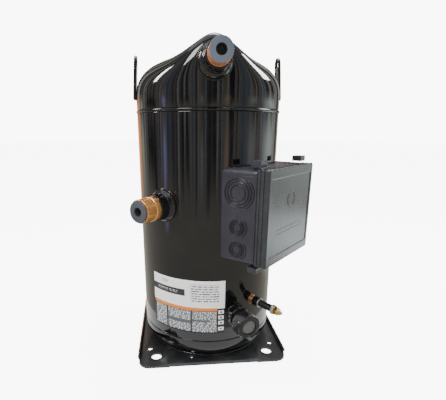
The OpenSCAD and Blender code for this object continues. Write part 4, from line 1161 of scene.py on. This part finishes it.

# %% [markdown]
# ## The oil sight glass
# A hexagonal fitting is welded to the can. A sealing ring lies on its neck, and a cap nut with a
# round window screws down over both. The window is a disc of clear glass.

# %% Sight glass
SIGHT_AF, FITTING_AF = 36.0, 32.0
NECK_TOP, SEAL_TOP = CAN_R + 21, CAN_R + 22.5
SIGHT_FRONT = CAN_R + 44.1
LENS_R, CORE_R, LENS_SEAT = 11.5, 9, SIGHT_FRONT - 5
sight_spot = outwards(SIGHT_TURN, 86.5)
fitting_hex = hexagon(FITTING_AF, chamfered(FITTING_AF, CAN_R - 1, CAN_R + 13, (False, True)), CORE_R)
neck_tube = sleeve(12.5, CORE_R, CAN_R + 12, NECK_TOP, (0.2, 0.8, 0.4, 0.2), 96)
sight_weld = bead(saddle_line(16.6, 0.4), 1.5, ripple=0.15, pitch=4)
sight_shells = placed(sight_spot, fitting_hex, neck_tube, sight_weld)
piece("sight_fitting", sight_shells, "nut_paint", ["sight_glass_fitting"])

seal_grid = sleeve(14, CORE_R, NECK_TOP, SEAL_TOP, (0.5, 0.5, 0.3, 0.3), 96)
piece("sight_seal", placed(sight_spot, seal_grid), "gasket_rubber", ["sight_glass_seal"])

nut_grid = hexagon(SIGHT_AF, chamfered(SIGHT_AF, SEAL_TOP, SIGHT_FRONT), LENS_R)
seat = [(LENS_R, LENS_SEAT), (CORE_R, LENS_SEAT), (CORE_R, SEAL_TOP)]
t = np.arctan2(nut_grid[0, :, 1], nut_grid[0, :, 0])
seat_rows = [round_axis(r, t, z) for r, z in seat]
nut_grid = np.concatenate([nut_grid[:-1], np.stack(seat_rows)])
piece("sight_nut", placed(sight_spot, nut_grid), "nut_paint", ["sight_glass_nut"])

window_chain = [(0, SIGHT_FRONT - 0.6, 0), (CORE_R, SIGHT_FRONT - 0.8, 1.5), (11.4, SIGHT_FRONT - 1.6, 0.8)]
window_chain += [(11.4, LENS_SEAT, 0.3), (0, LENS_SEAT, 0)]
window = [shell(sight_spot(turned(eased(window_chain, steps=7), 96)))]
piece("sight_window", window, "lens_glass", ["sight_glass_lens"])

# %% [markdown]
# ## The oil access valve
# From the can outwards: a copper-coloured base, a black hexagon, a plated washer, a barrel with
# turned grooves, and a brass cap with a knurled ring and a blunt point.

# %% Oil valve
VALVE_TIP, STEM_END, CAP_AT = CAN_R + 62.3, CAN_R + 52.0, CAN_R + 44.0
HEX_FROM, HEX_TO = CAN_R + 7, CAN_R + 17
BARREL_R, GROOVE_R, STEM_R, BORE_R = 5.8, 5.1, 3.9, 2
valve_spot = outwards(VALVE_TURN, 105.5)
base_chain = [(7, CAN_R - 2, 0), (7, CAN_R + 4, 1.2), (5.6, CAN_R + 5.4, 0.8), (7, HEX_FROM, 0.6)]
base_chain += [(2.2, HEX_FROM, 0.3), (2.2, CAN_R - 2, 0)]
valve_weld = bead(saddle_line(7.2, 0.3, 90), 1.0, ripple=0.15, pitch=3)
base_shells = placed(valve_spot, turned(eased(base_chain), 72), valve_weld)
piece("valve_base", base_shells, "fitting_copper", ["oil_valve_base"])

body_hex = hexagon(15, chamfered(15, HEX_FROM, HEX_TO), BORE_R)
barrel = [(STEM_R, HEX_TO, 0.1), (STEM_R, HEX_TO + 3.4, 0.1), (BARREL_R, HEX_TO + 3.4, 0.5)]
for k in range(4):
    groove = CAN_R + 24 + 4.4 * k
    barrel += [(BARREL_R, groove, 0.2), (GROOVE_R, groove + 0.5, 0.2)]
    barrel += [(GROOVE_R, groove + 1.2, 0.2), (BARREL_R, groove + 1.7, 0.2)]
barrel += [(BARREL_R, CAP_AT - 0.4, 0.5), (STEM_R, CAP_AT - 0.4, 0.1), (STEM_R, STEM_END, 0.4)]
barrel += [(BORE_R, STEM_END, 0.2), (BORE_R, HEX_TO, 0.1)]
barrel_grid = turned(eased(barrel, steps=4, closed=True), 72)
piece("valve_barrel", placed(valve_spot, body_hex, barrel_grid), "nut_paint", ["oil_valve_body"])

washer = sleeve(7.5, STEM_R + 0.05, HEX_TO + 0.4, HEX_TO + 2.4, (0.4, 0.4, 0.3, 0.3), 72)
piece("valve_washer", placed(valve_spot, washer), "zinc", ["oil_valve_washer"])

# %% [markdown]
# The cap's ring is knurled: round its rim the radius dips 36 times by a cosine. The hexagon behind
# the point is a bar whose ends are coned, and the point itself is turned.

# %% Valve cap
KNURLS, KNURL_DEPTH, RING_H = 36, 0.035, 4.5
CAP_BORE = STEM_R + 0.05
knurl_grid = sleeve(7.6, CAP_BORE, CAP_AT, CAP_AT + RING_H, (0.5, 0.5, 0.1, 0.2), 144)
turns = np.arctan2(knurl_grid[..., 1], knurl_grid[..., 0])
dip = 1 - KNURL_DEPTH * (0.5 + 0.5 * np.cos(turns * KNURLS))
knurl_grid[..., :2] *= dip[..., None] ** (knurl_grid[..., :1] ** 2 > 0)
hex_levels = [(CAP_AT + RING_H, 5.4), (CAP_AT + 5.2, 6.5), (VALVE_TIP - 7, 6.5), (VALVE_TIP - 6, 5.2)]
cap_hex = hexagon(11.5, hex_levels, CAP_BORE)
point = [(0, STEM_END + 0.4, 0), (CAP_BORE, STEM_END + 0.4, 0.2), (CAP_BORE, VALVE_TIP - 9.6, 0)]
point += [(5.2, VALVE_TIP - 6, 0.6), (4.0, VALVE_TIP - 3.4, 1), (2.6, VALVE_TIP - 1.2, 0.8)]
point += [(2.2, VALVE_TIP, 0.9), (0, VALVE_TIP, 0)]
cap_shells = placed(valve_spot, cap_hex) + [shell(valve_spot(turned(eased(point, steps=5), 72)))]
piece("valve_cap_brass", cap_shells, "brass", ["oil_valve_cap"], body="valve_cap")
piece("valve_cap_ring", placed(valve_spot, knurl_grid), "zinc", body="valve_cap")

# %% [markdown]
# ## The label
# A printed film follows the can. Its map holds its own two parameters, so the print follows the
# surface: u runs round the can and v up it. Solidify gives the film its thickness.

# %% Label
def label_sheet(columns=120, rows=24):
    """The cylinder patch r = R + film, with the map u, v taken from the same two parameters."""
    u, v = np.meshgrid(np.linspace(0, 1, columns), np.linspace(0, 1, rows))
    a = np.radians(LABEL_FROM + (LABEL_TO - LABEL_FROM) * u)
    r = CAN_R + 0.3
    z = LABEL_LOW + (LABEL_TOP - LABEL_LOW) * v
    points = np.stack([r * np.sin(a), -r * np.cos(a), z], axis=-1).reshape(-1, 3)
    return points, grid_faces(rows, columns, False, False), np.column_stack([u.ravel(), v.ravel()])


points, faces, place_map = label_sheet()
label = piece("printed_label", [(points, faces)], "label_film", ["rating_label"])
layer = label.data.uv_layers.new(name="print")
corner = np.zeros(len(label.data.loops), int)
label.data.loops.foreach_get("vertex_index", corner)
spots = np.zeros(len(label.data.vertices) * 3)
label.data.vertices.foreach_get("co", spots)
spots = spots.reshape(-1, 3) / MM
round_can = np.degrees(np.arctan2(spots[:, 0], -spots[:, 1]))
u = (round_can - LABEL_FROM) / (LABEL_TO - LABEL_FROM)
v = (spots[:, 2] - LABEL_LOW) / (LABEL_TOP - LABEL_LOW)
layer.data.foreach_set("uv", np.column_stack([u, v])[corner].ravel())
thick = label.modifiers.new("film", "SOLIDIFY")
thick.thickness = 0.25 * MM
thick.offset = -1
print("label map from", round(float(u.min()), 3), "to", round(float(u.max()), 3))

# %% [markdown]
# ## Softening a pressed plate
# The foot plate has steps, flanges and many holes, so its CAD solid already has the right shape. A
# copy is merged, and a bevel rounds its edges as pressing does.

# %% Foot plate
def softened(node, name, slot, width):
    """A merged copy of a CAD node with its sharp edges rounded by a bevel."""
    copy = bpy.data.objects.new(name, frame["nodes"][node].data.copy())
    bpy.context.scene.collection.objects.link(copy)
    work = bmesh.new()
    work.from_mesh(copy.data)
    bmesh.ops.remove_doubles(work, verts=work.verts, dist=1e-6)
    flat = math.radians(1)
    bmesh.ops.dissolve_limit(work, angle_limit=flat, verts=work.verts, edges=work.edges)
    work.to_mesh(copy.data)
    work.free()
    copy.data.materials.clear()
    copy.data.materials.append(FINISHES[slot])
    copy.data.shade_smooth()
    copy.data.set_sharp_from_angle(angle=math.radians(38))
    edge = copy.modifiers.new("eased_edges", "BEVEL")
    edge.width = width * MM
    edge.segments = 3
    edge.limit_method = "ANGLE"
    edge.angle_limit = math.radians(40)
    edge.harden_normals = True
    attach(copy, "can")
    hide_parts(node)
    print(name, len(copy.data.polygons), "faces before the bevel")
    return copy


softened("base_plate", "foot_plate", "foot_paint", 0.8)

# %% [markdown]
# ## Finishes for the parts that stay
# The parts inside keep their CAD meshes. Each takes the finish of its material slot.

# %% Assign finishes to CAD nodes
slots = {part["node"]: part["material_slot"] for part in frame["record"]["subparts"]}
dressed = 0
for node, obj in frame["nodes"].items():
    if obj.hide_render:
        continue
    obj.data.materials.clear()
    obj.data.materials.append(FINISHES[slots[node]])
    dressed += 1
print("CAD nodes dressed:", dressed, "new pieces:", len(made))

# %% [markdown]
# ## Floor and backdrop
# The floor is pale and plain, and it glows a little so that it stays white. Black gloss shows what
# stands round it, so the white floor and the white backdrop are seen by the camera only and pass
# reflected rays through to sheets made for them.

# %% Floor and backdrop
SEEN_ONLY = ("glossy", "diffuse", "shadow", "transmission")
REFLECTED_ONLY = ("camera", "diffuse", "shadow", "transmission")
FLOOR_HALF = 12.0


def sheet(name, points, faces, material, ways):
    """A stage sheet that the named kinds of ray pass through."""
    mesh = bpy.data.meshes.new(name)
    mesh.from_pydata(points, [], faces)
    mesh.materials.append(material)
    made_sheet = bpy.data.objects.new(name, mesh)
    bpy.context.scene.collection.objects.link(made_sheet)
    for way in ways:
        setattr(made_sheet, "visible_" + way, False)
    print("stage sheet", name)


def ring_wall(radius, low, high, inner=None, columns=145):
    """Points and faces of a cylinder, or of a flat ring when an inner radius is given."""
    a = np.linspace(0, 2 * np.pi, columns)
    rows = ((radius, low), (radius, high)) if inner is None else ((inner, low), (radius, low))
    grid = np.stack([np.stack([r * np.sin(a), -r * np.cos(a), z + 0 * a], -1) for r, z in rows])
    return grid.reshape(-1, 3).tolist(), grid_faces(2, columns, False, False).tolist()


def glowing(name, base=0.0, gloss=0.0, strength=1.0, **others):
    """A matt finish whose colour is the light it gives."""
    matt = dict(base_color=rgb(base, base, base), specular_ior_level=gloss, emission_strength=strength)
    return Finish(name, **matt, **others)


white = rgb(1, 1, 1)
floor_white = glowing("floor_white", 0.9, 0.1, 7.0, roughness=0.9, emission_color=white)
corners = [(x * FLOOR_HALF, y * FLOOR_HALF, 0) for x, y in ((-1, -1), (1, -1), (1, 1), (-1, 1))]
sheet("floor", corners, [(0, 1, 2, 3)], floor_white.material, ("glossy", "diffuse"))
backdrop_white = glowing("backdrop_white", strength=9.0, roughness=1.0, emission_color=white)
sheet("backdrop", *ring_wall(11.9, -0.01, 14), backdrop_white.material, SEEN_ONLY)

# %% [markdown]
# ## What the gloss reflects
# A curtain and a ring on the ground stand round the can, and only reflections see them. A gloss at
# some angle round the can mirrors the curtain at about twice that angle, so each streak on the can
# has its band on the curtain, and the lower half of the can mirrors the ground ring.

# %% Curtain and ground ring
GROUND_GLOW = rgb(0.62, 0.58, 0.50)
CURTAIN_R, CURTAIN_H = 1.15, 1.7
CURTAIN_BANDS = (
    (-154, 30, rgb(2.2, 0.75, 0.2)), (158, 26, rgb(0.6, 0.14, 0.1)), (-100, 20, rgb(0.01, 0.01, 0.01)),
    (-128, 8, rgb(0.9, 1.1, 0.9)), (-73, 5, rgb(1.5, 1.4, 2.8)), (-36, 6, rgb(0.02, 0.02, 0.02)),
    (22, 7, rgb(1.3, 1.0, 0.75)), (-14, 4, rgb(0.9, 0.95, 1.0)), (64, 14, rgb(1.2, 1.35, 1.25)),
    (100, 26, rgb(1.9, 2.1, 2.0)),
)


def angle_band(kit, turn, centre, half):
    """One near an angle round the can, fading to nought at a distance from it."""
    away = kit.node("Math", {"operation": "ABSOLUTE"}, {0: turn - math.radians(centre)})
    return kit.ramp(away, 0.0, math.radians(half), 1.0, 0.0)


def around(kit):
    """The angle round the can and the height, from the sheet's own coordinates."""
    axes = kit.node("SeparateXYZ", {}, {"Vector": kit.place})
    across, back, up = (Value(kit, axes.socket.node.outputs[k]) for k in range(3))
    return kit.node("Math", {"operation": "ARCTAN2"}, {0: across, 1: back * -1.0}), up


def curtain_look():
    """Streaks that follow the angle round the can, darkest high up. The colour is
    mix(height, floor glow, mix(streaks, dark, tint)), and it glows, so that no light changes it."""
    cloth = glowing("curtain", roughness=1.0)
    turn, up = around(cloth)

    def streak(often, offset, low, high):
        bits = {"W": turn * often + offset, "Scale": 1.0, "Detail": 3.0, "Roughness": 0.6}
        return cloth.ramp(cloth.node("TexNoise", {"noise_dimensions": "1D"}, bits), low, high)

    colour = cloth.mix(streak(5.0, 3.0, 0.42, 0.62), rgb(0.03, 0.03, 0.036), rgb(0.62, 0.52, 0.42))
    colour = cloth.mix(streak(3.0, 11.0, 0.52, 0.66), colour, rgb(0.30, 0.40, 0.52))
    colour = cloth.mix(streak(11.0, 23.0, 0.54, 0.64), colour, rgb(1.0, 1.05, 0.98))
    near_floor = cloth.ramp(up, 0.35, 0.6, 1.0, 0.0)
    for centre, half, tint in CURTAIN_BANDS:
        colour = cloth.mix(angle_band(cloth, turn, centre, half) * near_floor, colour, tint)
    ragged = up + (streak(4.0, 31.0, 0.3, 0.7) - 0.5) * 0.25
    lift = cloth.ramp(ragged, 0.0, 0.5, 1.0, 0.0)
    glow = cloth.mix(lift * lift, colour, GROUND_GLOW)
    cloth.feed(emission_color=glow)
    return cloth.material


def ground_look():
    """Warm grey all round, with a bright pool to the right and a violet ray to the left."""
    ground = glowing("ground_look", roughness=1.0)
    turn, up = around(ground)
    off = ground.node("VectorMath", {"operation": "DISTANCE"}, {0: ground.place, 1: (0.87, 0.35, 0.001)}, 1)
    colour = ground.mix(ground.ramp(off, 0.3, 0.62, 1.0, 0.0), GROUND_GLOW, rgb(2.9, 3.2, 3.2))
    far = ground.node("VectorMath", {"operation": "LENGTH"}, {0: ground.place}, 1)
    ray = angle_band(ground, turn, -72, 6) * ground.ramp(far, 0.75, 1.1)
    ground.feed(emission_color=ground.mix(ray, colour, rgb(1.3, 1.25, 2.6)))
    return ground.material


sheet("curtain", *ring_wall(CURTAIN_R, 0.0, CURTAIN_H), curtain_look(), REFLECTED_ONLY)
sheet("ground_ring", *ring_wall(CURTAIN_R, 0.001, 0, inner=0.19), ground_look(), REFLECTED_ONLY)

# %% [markdown]
# ## Lights
# Four soft area lights stand round the can and above it, and the world adds an even white light.

# %% Lights
def soft_light(name, place, size, power, aim=(0, 0, 0.25), colour=(1, 1, 1)):
    """An area light turned to face a point."""
    data = bpy.data.lights.new(name, "AREA")
    data.shape = "RECTANGLE"
    data.size, data.size_y = size
    data.energy = power
    data.color = colour
    lamp = bpy.data.objects.new(name, data)
    away = np.array(place) - np.array(aim)
    z = away / np.linalg.norm(away)
    x = np.cross([0, 0, 1], z)
    x /= np.linalg.norm(x)
    y = np.cross(z, x)
    turn = Matrix(np.stack([x, y, z], axis=-1).tolist()).to_4x4()
    lamp.matrix_world = Matrix.Translation(place) @ turn
    bpy.context.scene.collection.objects.link(lamp)
    return lamp


soft_light("key", (-0.7, -0.75, 1.0), (0.35, 0.35), 6)
soft_light("right_side", (0.9, 0.2, 0.95), (0.3, 0.35), 8)
soft_light("left_side", (-0.95, 0.1, 0.95), (0.12, 0.35), 5, colour=(1.0, 0.93, 0.85))
soft_light("top", (0.1, 0.1, 1.5), (0.7, 0.5), 10)
world = bpy.data.worlds.new("studio")
bpy.context.scene.world = world
world.use_nodes = True
world.node_tree.nodes["Background"].inputs["Color"].default_value = (1, 1, 1, 1)
world.node_tree.nodes["Background"].inputs["Strength"].default_value = 1.3
print("lights:", len(bpy.data.lights))
